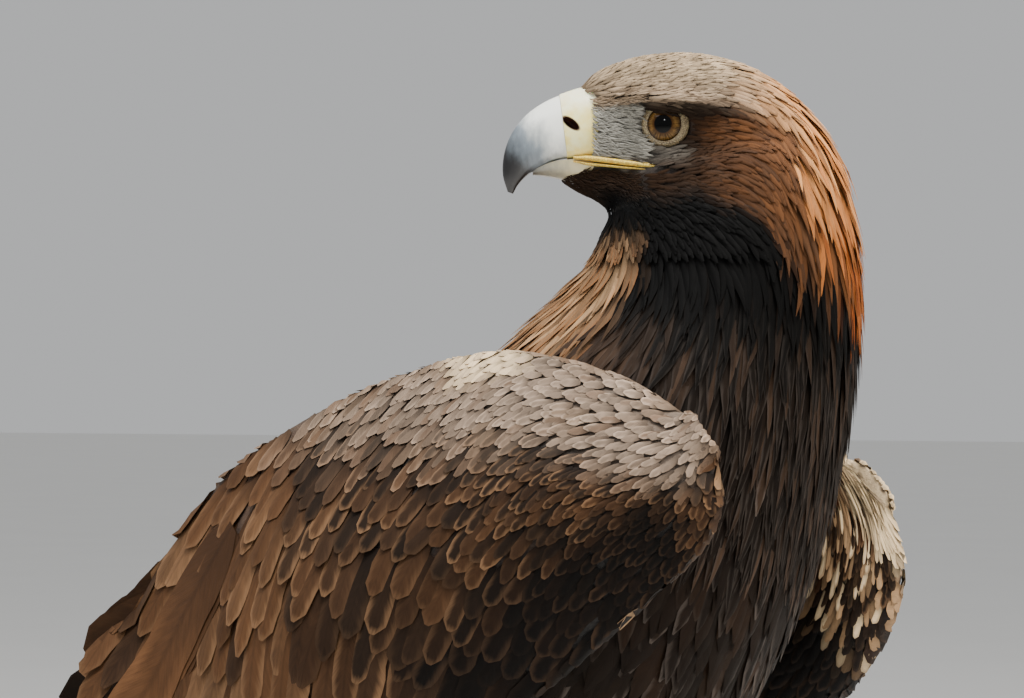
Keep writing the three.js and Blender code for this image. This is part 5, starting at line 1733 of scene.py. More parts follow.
    def tint_skin(self, wings: Sequence[Wing]) -> None:
        """Gives the skin the colours of the feathers on it, their painted shade and light included."""
        body = self.body
        spots, corners, shares = body.ground.nearest(body.skin.points)
        roots = Roots(body, corners, shares)
        label = body.label[corners[:, 0]]
        tint = self.trunk_colours(spots, roots)[0]
        head = self.head_colours(spots, roots)[0]
        neck = np.isin(label, HEADS) | (roots.read("station") < NECK_END)
        legs = (label >= Region.THIGH_RIGHT.number)[:, None]
        tint = np.where(legs, self.leg_colours(spots, roots)[0], np.where(neck[:, None], head, tint))
        off = np.linalg.norm(spots - body.skin.points, axis=1)
        for wing in wings:
            on = (off > body.far) & (body.skin.points[:, 0] * wing.form.side.value > 0)
            p, q = wing.form.nearest(body.skin.points[on])
            tint[on] = wing.colours(p, q)[0]
        values = np.hstack([tint, np.ones((len(tint), 1))]).astype(np.float32)
        layer = body.piece.data.attributes.new("tint", "FLOAT_COLOR", "POINT")
        layer.data.foreach_set("color", values.ravel())

    def build(self) -> list[Piece]:
        """Grows every feather of the body."""
        body, bench = self.body, self.body.bench
        points, x, y, z, label = body.ground.points, body.x, body.y, body.z, body.label
        head = np.isin(label, HEADS) | (z > -48)
        legs = label >= Region.THIGH_RIGHT.number
        eye = np.full(len(points), 99.0)
        for side in Side:
            off, along = body.head.off_gaze(side, points)
            eye = np.where(along > 0, np.minimum(eye, off), eye)
        lips = (np.abs(z + 14 + 0.147 * (39 - x)) < 1.3) & (x > -3.5) & (np.abs(y) > 8)
        bill = (x > 32.5) & (z > -17.5) & (z < 13.5 - 0.5 * (40 - x))
        bare = bill | (x > 47) | ((eye - 0.1 * x < 9.3) & (z < 3.6)) | (head & lips)
        growth = np.maximum(ease(-8, -62, x), ease(-20, -88, z))
        lore = ease(7, 13, x + 3 * self.fleck(points)) * ease(-38, -28, z) * ease(13, 10, z)
        clothed = head & ~bare
        first, last = self.breast_span
        lower = ~head & ~legs & (body.station >= first) & (body.station < last)
        neck = (body.station < NECK_END) & ~head & ~legs
        lances = (clothed & (growth > 0.42)) | neck
        thick = ease(2.6, 4.5, body.station)
        shank = label >= Region.SHANK_RIGHT.number
        limbs = legs & (points[:, 2] > self.bare_to)
        whole, rear = clothed & (growth < 0.5), clothed & (x <= -20) & (growth < 0.62)
        front = whole & (lore <= 0.6) & (x > -20)
        rows = (  # name, slot, vane, where, gap, length, half width, colours, slope, how sunk, how astray
            ("lores", "crown", HAIR, whole & (lore > 0.5), 0.8, 4.2 + 0 * x, 0.36 + 0 * x, self.head_colours,
             0.1, 0.3, 12.0),
            ("face", "crown", SCALE, front, 1.4 + 1.8 * growth, lerp(7.5, 24, growth), lerp(0.8, 2.4, growth),
             self.head_colours, 0.1, 0.4, 7.0),
            ("crown", "crown", SCALE, rear, 1.5 + 1.9 * growth, lerp(9, 28, growth), lerp(0.85, 2.5, growth),
             self.head_colours, 0.1, 0.4, 7.0),
            ("hackles", "hackle", LANCE, lances, lerp(2.2, 3.9, growth), lerp(14, 40, growth),
             lerp(1.3, 2.7, growth), self.head_colours, 0.1, 1.2, 7.0),
            ("breast", "breast", CONTOUR, lower, lerp(4.8, 6.4, thick), lerp(38, 40, thick),
             lerp(3.6, 5.6, thick), self.trunk_colours, 0.08, 1.2, 7.0),
            ("legs", "leg", SHAG, limbs, np.where(shank, 3.2, 5.4), np.where(shank, 15.0, 34.0),
             np.where(shank, 2.3, 4.6), self.leg_colours, 0.09, 1.0, 7.0),
        )
        pieces = []
        for seed, (name, slot, vane, where, gap, long, half, *look) in enumerate(rows, 1):
            coat = Coat(bench, f"coat_{name}", seed)
            body.grow(vane, np.where(where, gap, 0), long, half, coat, *look)
            pieces.append(coat.build())
            hang(f"{slot}_feathers", pieces[-1:])
        self.finish.dress(*pieces)
        return pieces


@dataclass(frozen=True)
class Tier:
    """A tier of long feathers on a wing, each pair given for its outermost and its innermost one.

    Attributes:
        count: how many there are.
        p: where their roots are along the wing.
        q: where their roots are across it.
        lean: degrees by which they turn from its axis.
        half: half of their width.
        lift: how far root and tip stand off the wing's face.
        layer: what the last one of them has added to that.
        least: the share of its length that the shortest one keeps.
        brown: how much of the coverts' brown they have.
        drop: how far a hanging wing moves them.
        turn: how far a fanned wing turns them.
        opened: how far a spread wing moves them.
        long: their length, or none where they end on the wing tip's line.
    """

    count: int
    p: Span
    q: Span
    lean: Span
    half: Span
    lift: Span
    layer: float
    least: float
    brown: float
    drop: Span = (0.0, 0.0)
    turn: Span = (0.0, 0.0)
    opened: Span = (0.0, 0.0)
    long: Span | None = None


FLIGHTS = (
    Tier(10, (70, 132), (26, 8), (-1.2, 1.8), (15, 12), (-12.15, -12.15), -8.1, 0.98, 0.0,
         drop=(0.5, 0.95), turn=(0.05, 0.05)),
    Tier(15, (52, 166), (28, 118), (-2, -16), (15, 16), (-10.8, -10.8), 9.45, 0.95, 0.15,
         drop=(0.6, 0), turn=(0.25, 1.35), long=(325, 225)),
    Tier(5, (172, 176), (128, 140), (-17, -21), (15, 15), (-2, 1.6), 2.7, 0.95, 0.7,
         turn=(1.15, 1.3), opened=(0.55, 0.55), long=(190, 135)),
)


@dataclass
class Wing:
    """One wing's feathers."""

    bench: Bench
    form: WingForm
    finish: Finish
    sizes: Curve = curve(
        (-20, 1.5), (20, 1.8), (45, 2.7), (70, 4.2), (105, 5.7), (150, 7.1), (220, 7.6),
    )
    tips: Curve = curve((0, 372), (0.35, 450), (0.75, 610), (0.88, 616), (1, 560))
    tries: int = 150000  # places drawn for coverts, of which few are kept
    along: Span = (-29, 262)
    across: Span = (-75, 260)
    wrapped: float = 26.0  # how far coverts run over the upper edge
    broad_from: float = 3.4  # half of the width from which a covert is a broad one

    def __post_init__(self) -> None:
        """Draws the patches in the plumage."""
        self.near = self.form.side is Side.RIGHT
        self.region = Region.WING_RIGHT if self.near else Region.WING_LEFT
        self.patch = Speckle(30, 21 + self.form.side.value)
        self.fleck = Speckle(9, 24 + self.form.side.value)

    def flat(self, p: Array, q: Array) -> Array:
        """Places on the unwrap."""
        return self.region.flat((p + 40) / 420, (q + 90) / 340)

    def on_face(self, p: Array, q: Array, lift: Array) -> Array:
        """Points of a feather over the wing's skin, which wraps round both edges."""
        return self.form.face(p, q) + self.form.normal(p, q) * lift[..., None]

    def stroke(self, vane: Vane, p: Array, q: Array, lean: Array, long: Array,
               half: Array, lift: Array, wraps: bool, colours: tuple, curl: float = 0.0) -> Feathers:
        """Feathers laid on the wing's face.

        Args:
            vane: their shape.
            p: their roots along the wing.
            q: their roots across it.
            lean: degrees by which they turn from its axis.
            long: their lengths.
            half: half of their widths.
            lift: how far each row of points stands off the face.
            wraps: whether they follow the skin round its edges.
            colours: the vane's colour, the rim's and the rim's strength.
            curl: degrees by which they turn further, from root to tip.

        Returns:
            The feathers.
        """
        share = np.linspace(0, 1, vane.rows)
        angle = np.radians(lean)[:, None] + math.radians(curl) * share[None, :]
        step = np.diff(share, prepend=0)[None, :] * long[:, None]
        along = p[:, None] + np.cumsum(np.cos(angle) * step, axis=1)
        across = q[:, None] + np.cumsum(np.sin(angle) * step, axis=1)

        def sheet(reach: Array) -> Array:
            """Points at reaches across the vanes."""
            pp = along[..., None] - reach * np.sin(angle)[..., None]
            qq = across[..., None] + reach * np.cos(angle)[..., None]
            if wraps:
                return self.on_face(pp, qq, np.broadcast_to(lift[..., None], pp.shape))
            return self.form.at(pp, qq, self.form.lateral(pp, qq) + lift[..., None])

        level = self.form.side.value * place(0, 1, 0) + 0 * along[..., None]
        out = self.form.normal(along, across) if wraps else level
        return Feathers(vane, sheet, out, half, long, *colours, self.flat(p, q))

    def flights(self, coat: Coat) -> None:
        """Adds the long feathers."""
        form, draws = self.form, coat.draws
        share = np.linspace(0, 1, FLIGHT.rows)
        climb = np.minimum(1, share / 0.3)
        for tier in FLIGHTS:
            t = np.linspace(0, 1, tier.count)
            p, half = lerp(*tier.p, t), lerp(*tier.half, t)
            q = lerp(*tier.q, t) - form.droop * lerp(*tier.drop, t) + form.spread * lerp(*tier.opened, t)
            lean = lerp(*tier.lean, t) + form.fan * lerp(*tier.turn, t)
            long = lerp(*tier.long, t) if tier.long else self.tips(t) - p
            long = long * draws.uniform(tier.least, 1.0, tier.count)
            lift = tier.lift[0] + (tier.lift[1] - tier.lift[0]) * climb[None, :] + tier.layer * t[:, None]
            patch = draws.uniform(-1, 1, tier.count)
            tint = mixed((1 + 0 * t, FLIGHT_DARK), (ease(-0.5, 1, patch) * 0.8, FLIGHT_BROWN),
                         (tier.brown + 0 * t, COVERT_BROWN))
            # The far wing's long feathers are darkened: painted shade.
            if not self.near:
                tint = tint * 0.45
            coat.add(self.stroke(FLIGHT, p, q, lean, long, half, lift, False,
                                 (tint, np.clip(tint * 1.9, 0, 1), 0.5 + 0 * t)))

    def grain(self, p: Array, q: Array) -> Array:
        """Half of the width of the coverts: tiny at the wrist and over the back, broad lower down."""
        return self.sizes(p - 0.8 * np.maximum(q - 75, 0))

    def coverts(self, fine: Coat, broad: Coat) -> None:
        """Adds the coverts, which lie like tiles.

        Args:
            fine: the coat of the small ones.
            broad: the coat of the broad ones.
        """
        form, draws = self.form, fine.draws
        p, q = draws.uniform(*self.along, self.tries), draws.uniform(*self.across, self.tries)
        low, high = form.edges(p)
        under = 24 if self.near else 75
        keep = (q > low - under) & (q < high + self.wrapped) & (p < 226 + 14 * ease(60, 90, q))
        keep &= (p > form.cuts[0]) | ((q > low) & (q < high))
        p, q = p[keep], q[keep]
        half = self.grain(p, q)
        angle = np.radians(self.lean(p, q))
        bend = np.radians(-25.0)
        run, rise = p * np.cos(bend) + q * np.sin(bend), q * np.cos(bend) - p * np.sin(bend)
        kept = thin(np.stack([run / 1.35, rise, 0 * p], axis=1), 1.3 * half + 0.45)
        p, q, half, angle = p[kept], q[kept], half[kept], angle[kept]
        tip = form.normal(p + 5 * half * np.cos(angle), q + 5 * half * np.sin(angle))
        even = dots(form.normal(p, q), tip) > -0.3
        p, q, half, angle = p[even], q[even], half[even], angle[even]
        wide = half >= self.broad_from
        for coat, vane, chosen in ((fine, SCALE, ~wide), (broad, COVERT, wide)):
            pp, qq, hh = p[chosen], q[chosen], half[chosen]
            n = len(pp)
            share = np.linspace(0, 1, vane.rows)
            long = hh * lerp(5.2, 8.2, ease(4, 7, hh)) * draws.uniform(0.88, 1.1, n)
            slope = 0.085 * draws.uniform(0.85, 1.2, n)
            lift = (slope * long)[:, None] * share[None, :] - (0.4 + 0.16 * hh)[:, None]
            coat.add(self.stroke(
                vane, pp, qq, np.degrees(angle[chosen]) + draws.normal(0, 4.5, n), long,
                hh * draws.uniform(0.9, 1.1, n), lift, True, self.colours(pp, qq), -6,
            ))

    def lean(self, p: Array, q: Array) -> Array:
        """Degrees by which coverts turn down from the wing's axis."""
        (low, high), (low_on, high_on) = self.form.edges(p), self.form.edges(p + 1)
        v = np.clip((q - low) / (high - low), 0, 1)
        steep = -6 - 34 * ease(30, 150, p) * (ease(0.05, 0.35, v) - 0.5 * ease(0.75, 1, v))
        lean = np.where(q < low, 6, steep) + self.form.fan * 0.5 * v
        inside = np.abs(np.where(q > high, 2 * high - q, q) - low) / (high - low)
        edgewise = np.degrees(np.arctan(lerp(low_on - low, high_on - high, np.clip(inside, 0, 1))))
        return lerp(lean, edgewise, 0.9 * ease(48, 6, p) * ease(-26, -16, p))

    def colours(self, p: Array, q: Array) -> Trio:
        """Colours of the coverts."""
        points = self.form.face(p, q)
        patch, fleck, one = self.patch(points), self.fleck(points), np.ones(len(p))
        chance = np.random.default_rng(len(p)).random(len(p))
        low, high = self.form.edges(p)
        v = (q - low) / (high - low)
        # The wing turns grey towards its upper edge: partly its own grey-brown small coverts, partly painted
        # light from above.
        border = v - 0.0038 * np.maximum(p - 20, 0) + 0.012 * np.clip(20 - p, 0, 36)
        grey_and_top_light = ease(0.46, 0.76, border + 0.05 * fleck)
        warm = ease(100, 150, p + 12 * patch)
        # Near black low on the middle of the wing, where light doesn't reach: painted shade, with dusky rims
        # that are dimmed there too.
        underside_shade = ease(0.34, 0.2, v + 0.03 * patch) * ease(118, 98, p) * ease(-4, 14, p + 40 * v)
        tint = mixed((one, COVERT_DARK), (ease(-0.5, 0.7, fleck) * 0.5, COVERT_BROWN),
                     (warm * 0.75, COVERT_BROWN), (ease(0.7, 1, chance) * warm * 0.5, COVERT_RIM),
                     (ease(0.25, 0, chance) * 0.7, COVERT_DARK), (underside_shade * 0.9, SHADE_BLACK))
        scale = mixed((one, SCALE_GREY), (ease(-0.1, 0.9, patch) * 0.7, SCALE_WARM),
                      (ease(0.4, 1, fleck) * 0.5, COVERT_BROWN))
        tint = over(tint, scale, grey_and_top_light)
        shoulder = ease(20, 9, np.abs(p - 36)) * ease(0.89, 0.96, v) * self.near
        tint = over(tint, CREAM, shoulder * 0.85)
        edge = ease(0.0, -0.06, v + 0.03 * fleck) * ease(0.3, 0.9, chance) * ease(130, 90, p)
        tint = over(tint, MANTLE_PALE, edge * 0.7 * self.near)
        rim = mixed((one, COVERT_RIM), (grey_and_top_light, SCALE_RIM), (underside_shade * 0.8, DUSK))
        strength = (0.1 + 0.6 * ease(0.2, 1, chance)) * lerp(1, 0.5, underside_shade)
        if not self.near:
            rim_side = 0.35 * (q + 30) - p - 4
            pale = ease(3, 15, rim_side + 8 * patch + 6 * fleck) * ease(0.08, 0.14, chance)
            mottle = mixed((one, COVERT_DARK), (ease(0, 0.6, patch), RUFOUS),
                           (ease(0.2, 0.6, fleck) * 0.8, MANTLE_PALE), (ease(0.86, 0.9, chance) * 0.9, CREAM))
            inner = ease(0.5, 0.1, v)
            tint = over(tint, mottle, inner * ease(60, 20, p))
            tint, rim = over(tint, CREAM, pale), over(rim, CREAM, pale)
            # Most of the far wing's lower part turns near black, with dusky rims: painted shade.
            dark = inner * ease(14, 40, p) * ease(0.99, 0.985, chance)
            tint, rim = over(tint, SHADE_BLACK, dark), over(rim, DUSK, dark)
        return tint, rim, strength

    def build(self) -> list[Piece]:
        """Lays every feather of the wing."""
        word = self.form.side.word
        long = Coat(self.bench, f"flight_{word}", 31)
        self.flights(long)
        large = Coat(self.bench, f"coverts_{word}", 32)
        small = Coat(self.bench, f"lesser_{word}", 33)
        self.coverts(small, large)
        pieces = [coat.build() for coat in (long, large, small)]
        self.finish.dress(*pieces)
        hang("wing_feathers", pieces, f"wing_{word}")
        return pieces


@dataclass
class Tail:
    """The tail's twelve long feathers and its coverts."""

    bench: Bench
    form: TailForm
    finish: Finish
    pairs: int = 6
    start: float = 8.0
    long: float = 318.0
    shorter: float = 4.0
    half: float = 21.0
    apart: float = 3.0
    aside: float = 1.5
    fan: float = 0.85
    top: float = 3.0
    step: float = 0.806

    def vanes(self, vane: Vane, start: Array, left: Array, lean: Array, long: Array,
              half: Array, lift: Array, tint: Array) -> Feathers:
        """Feathers in the tail's plane."""
        share = np.linspace(0, 1, vane.rows)
        along = start[:, None] + long[:, None] * share
        aside = left[:, None] + np.tan(np.radians(lean))[:, None] * long[:, None] * share

        def sheet(reach: Array) -> Array:
            """Points at reaches across the vanes."""
            run, high = along[..., None] + 0 * reach, lift[..., None] + 0 * reach
            return self.form.point(run, aside[..., None] + reach, high)

        out = self.form.point(0, 0, 1) - self.form.point(0, 0, 0) + 0 * along[..., None]
        one = 1 + 0 * half
        patch = Region.TAIL.flat((start + 30) / 60, left / 60 + 0.5)
        return Feathers(vane, sheet, out, half, long, tint, np.clip(tint * 1.7, 0, 1), 0.5 * one, patch)

    def build(self) -> list[Piece]:
        """Makes the tail."""
        coat = Coat(self.bench, "tail_feathers", 41)
        number = np.arange(2 * self.pairs)
        pair, side = number // 2, np.where(number % 2, 1, -1)
        one = np.ones(len(number))
        lift = (self.top - self.step * number)[:, None] * np.ones(FLIGHT.rows)
        tint = mixed((one, FLIGHT_DARK), (0.4 * one, FLIGHT_BROWN))
        coat.add(self.vanes(
            FLIGHT, self.start * one, side * (self.apart + self.aside * pair), side * self.fan * (pair + 0.2),
            self.long - self.shorter * pair, self.half * one, lift, tint,
        ))
        draws = coat.draws
        for away, count, reach in ((1, 90, 118), (-1, 90, 142)):
            across = draws.uniform(-1, 1, count)
            start = -30 + draws.uniform(0, 70, count)
            share = np.linspace(0, 1, COVERT.rows)[None, :]
            bulge = np.sqrt(1 - 0.7 * across**2)
            swell = bulge[:, None] * (1 - 0.5 * (start[:, None] + 30) / 100)
            tall = away * (2.5 + 6.5 * swell) - (away < 0) * 5
            rise = tall - away * 3 * (1 - share)
            tint = mixed((1 + 0 * across, FLIGHT_BROWN), (draws.random(count) * 0.6, COVERT_BROWN))
            size = 1 - 0.16 * np.abs(across)
            long = reach * 0.66 * size * draws.uniform(0.9, 1.1, count)
            coat.add(self.vanes(COVERT, start, across * 25, across * 3.5, long, 9 + 0 * across, rise, tint))
        piece = coat.build()
        self.finish.dress(piece)
        hang("tail_feathers", [piece], "tail")
        return [piece]


# Hard parts


@dataclass
class Bill:
    """The bill, its cere, its lips and its nostrils."""

    bench: Bench
    head: HeadForm
    mouth: float = -13.2
    slit: float = 0.6
    stations: tuple = (  # x and z of the ridge, x and z of the cutting edge, half of the width
        (29, 17.2, 29, -12.9, 12.4), (36, 15.8, 35, -12.9, 11.6), (43.5, 13.4, 42, -12.9, 10.4),
        (51.5, 9.8, 47.5, -14.2, 8.8), (59, 4.2, 52, -16.4, 7), (64.6, -3.4, 55.2, -18.2, 5.2),
        (67.4, -11.6, 58, -20, 3.8), (67.8, -19.6, 61.4, -23.6, 2.5), (65.8, -26.6, 63.6, -27.4, 0.9),
    )
    pinch: float = 0.22
    lower: tuple = (  # x, bottom, half of the width, how far its edge falls
        (29, -25.5, 10.2, 0), (38, -23.2, 8.8, 0), (46, -21.2, 6.8, -0.6), (52, -20.2, 4.8, -2.6),
        (55.5, -19.8, 2.4, -4.4),
    )
    cere: Span = (32.5, 43.0)
    cere_slant: float = 0.12
    nostril: Spot = (40, 11.2, 1)
    nostril_size: Spot = (3.9, 5, 1.7)
    nostril_slant: float = 38.0
    lip: Span = (39, -1.5)
    lip_fall: float = 5.5
    lip_above: float = 2.4
    lip_below: float = 1.5

    def rings(self, out: float = 0.0, rings: int = 34, sides: int = 36) -> Array:
        """The upper bill with its cere, as rings of points."""
        top_x, top_z, low_x, low_z, half = curves_of(self.stations)
        station, turn = ring_grid(0, len(self.stations) - 1, rings, sides)
        turn = turn + np.pi / sides
        rise = 0.5 + 0.5 * np.sign(np.cos(turn)) * np.abs(np.cos(turn)) ** 0.85
        full = np.where(np.cos(turn) < 0, 0.4, 1.0)
        wide = np.sign(np.sin(turn)) * np.abs(np.sin(turn)) ** full
        wide = (half(station) + out) * wide * (1 - self.pinch * np.maximum(np.cos(turn), -0.25))
        return self.head.at(
            lerp(low_x(station), top_x(station), rise), wide,
            lerp(low_z(station), top_z(station), rise) + out * np.cos(turn),
        )

    def lower_rings(self, rings: int = 20, sides: int = 28) -> Array:
        """The lower bill as rings of points."""
        x, bottom, half, fall = curves_of(self.lower)
        station, turn = ring_grid(0, len(self.lower) - 1, rings, sides)
        top = self.mouth - self.slit / 2 + fall(station)
        return self.head.at(x(station), half(station) * np.sin(turn),
                            lerp(top, bottom(station), np.maximum(0, -np.cos(turn))))

    def lip_rings(self, side: Side, above: bool, rings: int = 24, sides: int = 16) -> Array:
        """One lip as rings of points."""
        way = 1 if above else -1
        share, turn = ring_grid(0, 1, rings, sides)
        x = lerp(*self.lip, share)
        line = self.mouth - 0.6 - self.lip_fall * share + way * self.slit / 2 * (1 - share)
        tall = self.lip_above if above else self.lip_below * (1 - 0.7 * share)
        tall = tall * np.sqrt(1 - 0.97 * share**14)
        cheek = lerp(self.head.cheek(x, line), 11.4 - 0.18 * (x - 33), ease(28, 36, x))
        swell = (1.7 if above else 1.0) * lerp(1, 0.45, ease(32, 39, x)) + 0.9 * ease(16, 5, x)
        tall = tall * lerp(1, 0.5, ease(32, 39, x))
        up = np.sign(np.sin(turn)) * np.abs(np.sin(turn)) ** 0.8
        aside = cheek - 1.6 + (1.6 + swell) * np.cos(turn)
        return self.head.at(x, side.value * aside, line + way * tall * (0.5 + 0.5 * up))

    def cut(self, piece: Piece, x: float, slant: float, keep: int) -> None:
        """Cuts a piece across the bill and keeps what lies ahead of the cut, or behind it.

        Args:
            piece: the piece.
            x: where the cut is.
            slant: how far the cut leans.
            keep: 1 for what is ahead and -1 for what is behind.
        """
        self.bench.pick(piece)
        bpy.ops.object.mode_set(mode="EDIT")
        bpy.ops.mesh.select_all(action="SELECT")
        bpy.ops.mesh.bisect(
            plane_co=self.bench.metres(self.head.at(x, 0, 0)),
            plane_no=self.head.way(1, 0, -slant),
            use_fill=True,
            clear_inner=keep > 0,
            clear_outer=keep < 0,
        )
        bpy.ops.object.mode_set(mode="OBJECT")

    def open_nostril(self, cere: Piece, side: Side) -> None:
        """Cuts one nostril into the cere."""
        bench, (x, y, z) = self.bench, self.nostril
        hole = bench.ball("hole", np.zeros(3), 1.0, segments=24)
        spots = bench.own(bench.spots(hole)) * self.nostril_size
        angle = math.radians(self.nostril_slant)
        along = spots[:, 0] * math.cos(angle) - spots[:, 2] * math.sin(angle)
        up = spots[:, 0] * math.sin(angle) + spots[:, 2] * math.cos(angle)
        bench.put(hole, self.head.at(x + along, side.value * y + spots[:, 1], z + up))
        bench.carve(cere, hole)

    def build(self) -> list[Piece]:
        """Makes the bill."""
        bench, head = self.bench, self.head
        upper = bench.ring_body("bill_upper", self.rings())
        self.cut(upper, self.cere[1] + 0.1, self.cere_slant, 1)
        cere = bench.ring_body("cere", self.rings(0.35))
        self.cut(cere, self.cere[0] - 4, 0, 1)
        self.cut(cere, self.cere[1], self.cere_slant, -1)
        for side in Side:
            self.open_nostril(cere, side)
        lower = bench.ring_body("bill_lower", self.lower_rings())
        self.cut(lower, self.cere[0] - 4, 0, 1)
        edges = [(side, above) for side in Side for above in (True, False)]
        gape = bench.join("gape", [bench.ring_body("lip", self.lip_rings(*edge)) for edge in edges])
        start = bench.millimetres(head.at(43, 0, 6))
        way = tuple(head.way(0.8, 0, -0.6))
        for name, piece, hues in (
            ("bill_horn", upper, (srgb(240, 242, 234), srgb(120, 130, 138), srgb(24, 23, 25))),
            ("lower_horn", lower, (srgb(216, 204, 160), srgb(140, 138, 126), srgb(52, 50, 48))),
        ):
            Horn(name, *hues, start, way, 29).dress(piece)
        x, _, z = self.nostril
        middle = bench.millimetres(head.at(x, 0, z))
        CereFinish(middle, tuple(head.ahead), self.nostril_slant, *self.nostril_size[::2]).dress(cere)
        ScaleSkin("gape_skin", srgb(236, 204, 96), srgb(196, 150, 58), 1.2, 0.4, 0.08).dress(gape)
        for piece, slot in ((upper, "bill_horn"), (lower, "bill_horn"), (cere, "yellow_skin")):
            hang(slot, [piece], node_of(piece))
            bench.pick(piece)
            bpy.ops.object.shade_smooth_by_angle(angle=math.radians(40))
        hang("yellow_skin", [gape])
        return [upper, cere, lower, gape]


@dataclass
class Eyes:
    """The eyes and the bare rings of their lids."""

    bench: Bench
    head: HeadForm
    radius: float = 11.0
    lid_reach: float = 8.5
    lid_thick: float = 1.25

    def build(self) -> list[Piece]:
        """Makes both eyes."""
        bench, head = self.bench, self.head
        pieces = []
        for side in Side:
            way = head.gaze(side)
            centre = head.eye(side)
            eye = bench.ball(f"eye_{side.word}", centre, self.radius, axis=way, segments=64)
            EyeFinish(f"eye_{side.word}", bench.millimetres(centre), tuple(way)).dress(eye)
            hang("eye", [eye], node_of(eye))
            bench.clear()
            bpy.ops.mesh.primitive_torus_add(major_segments=72, minor_segments=16,
                                             major_radius=self.lid_reach, minor_radius=self.lid_thick)
            lid = bpy.context.object
            lid.name = f"lid_{side.word}"
            spots = bench.spots(lid)
            off = np.linalg.norm(spots[:, :2], axis=1, keepdims=True)
            wide = self.lid_reach + (off - self.lid_reach) * 1.25
            spots[:, :2] *= wide / off
            spots[:, 1] *= 0.95
            spots[:, 2] = spots[:, 2] * 0.8 - (wide[:, 0] - self.lid_reach) * 0.45
            spots[:, 2] += math.sqrt(self.radius**2 - self.lid_reach**2) + 0.35
            lid.data.vertices.foreach_set("co", (spots * MM).astype(np.float32).ravel())
            bench.turn(lid, centre, way)
            bench.pick(lid)
            bpy.ops.object.shade_smooth()
            ScaleSkin(f"lid_{side.word}", srgb(150, 132, 100), srgb(96, 78, 56), 0.9, 0.5, 0.2).dress(lid)
            hang("yellow_skin", [lid])
            pieces += [eye, lid]
        return pieces


@dataclass(frozen=True)
class Toe:
    """A toe's heading in degrees, its length, its thickness, its claw's reach and its joints."""

    name: str
    heading: float
    long: float
    thick: float
    claw: float
    joints: int


TOES = (
    Toe("middle", 2, 66, 8.2, 34, 4),
    Toe("inner", -42, 50, 8.2, 38, 3),
    Toe("outer", 44, 52, 7.6, 29, 3),
    Toe("hind", 180, 38, 8.8, 42, 2),
)


@dataclass
class Foot:
    """A bare foot with its toes and claws."""

    bench: Bench
    leg: LegForm
    pad: tuple = ((0, 12.9), (3, 15), (11, 15.3), (19, 13.8), (26, 12.4))
    start: float = 4.0
    taper: Span = (1.02, 0.74)
    knuckle: float = 0.07
    sole: float = 1.6
    flat: float = 0.92
    scute: float = 4.2

    def toe_rings(self, toe: Toe, rings: int = 44, sides: int = 20) -> Array:
        """A toe as rings of points, stepped over its scutes."""
        share, turn = ring_grid(0, 1, rings, sides)
        knuckle = 1 + self.knuckle * np.cos(2 * np.pi * toe.joints * share)
        round_end = np.sqrt(np.clip(1 - ((share - 0.9) / 0.1).clip(0) ** 2 * 0.5, 0, 1))
        radius = toe.thick * knuckle * lerp(*self.taper, share) * round_end
        scutes = toe.long * (1 - 0.3) / self.scute
        step = (share * scutes * 1.4) % 1.0
        bulge = np.where((np.cos(turn) > 0.1) & (share > 0.3), 0.07 * np.sqrt(1 - (2 * step - 1) ** 2), 0)
        up = np.maximum(0, self.flat * radius * (1 + np.cos(turn) * (1 + bulge)) - self.sole)
        aside = radius * np.sin(turn) * (1 + 0.3 * bulge)
        return self.leg.foot(toe.heading, lerp(self.start, toe.long, share), aside, up)

    def claw_rings(self, toe: Toe, rings: int = 26, sides: int = 18) -> Array:
        """A claw as rings of points."""
        share, turn = ring_grid(0, 1, rings, sides)
        start = toe.thick * 0.98
        bend = np.radians(lerp(20, -98, share))
        along = toe.long - 1.5 + toe.claw * 0.74 * np.sin(np.pi / 2 * share) + 1.9 * share
        fall = (start - 0.9) * (1 - np.cos(np.pi / 2 * share))
        up = start + 3.4 * np.sin(0.9 * np.pi * share) - fall
        radius = np.maximum(4.4 * (1 - 0.88 * share**1.3), 0.5)
        rise = radius * np.cos(turn)
        height = up + rise * np.maximum(np.cos(bend), 0.15)
        return self.leg.foot(toe.heading, along - 0.7 * rise * np.sin(bend), 0.82 * radius * np.sin(turn),
                             np.maximum(0.2, height))

    def build(self) -> list[Piece]:
        """Makes the foot."""
        bench, word = self.bench, self.leg.side.word
        skin = ScaleSkin(f"foot_skin_{word}", srgb(222, 190, 70), srgb(150, 112, 36), 2.6, 0.45, 0.5)
        radius = Curve(self.pad)
        up, turn = ring_grid(0, 26, 16, 40)
        rings = np.stack([
            np.stack([self.leg.foot(angle, radius(tall), 0, tall) for tall, angle in zip(row, angles)])
            for row, angles in zip(up, np.degrees(turn))
        ])
        pieces = [bench.ring_body(f"foot_{word}", rings)]
        pieces += [bench.ring_body(f"toe_{toe.name}_{word}", self.toe_rings(toe)) for toe in TOES]
        claws = [bench.ring_body(f"claw_{toe.name}_{word}", self.claw_rings(toe)) for toe in TOES]
        skin.dress(*pieces)
        low = bench.millimetres(self.leg.foot(0, 0, 0, 9))
        hues = (srgb(64, 60, 56), srgb(34, 32, 32), srgb(16, 15, 16))
        Horn(f"claw_horn_{word}", *hues, low, (0, 0, -1), 9, 0.25).dress(*claws)
        for piece in pieces + claws:
            hang("claw_horn" if piece in claws else "yellow_skin", [piece], node_of(piece))
        return pieces + claws


# The studio


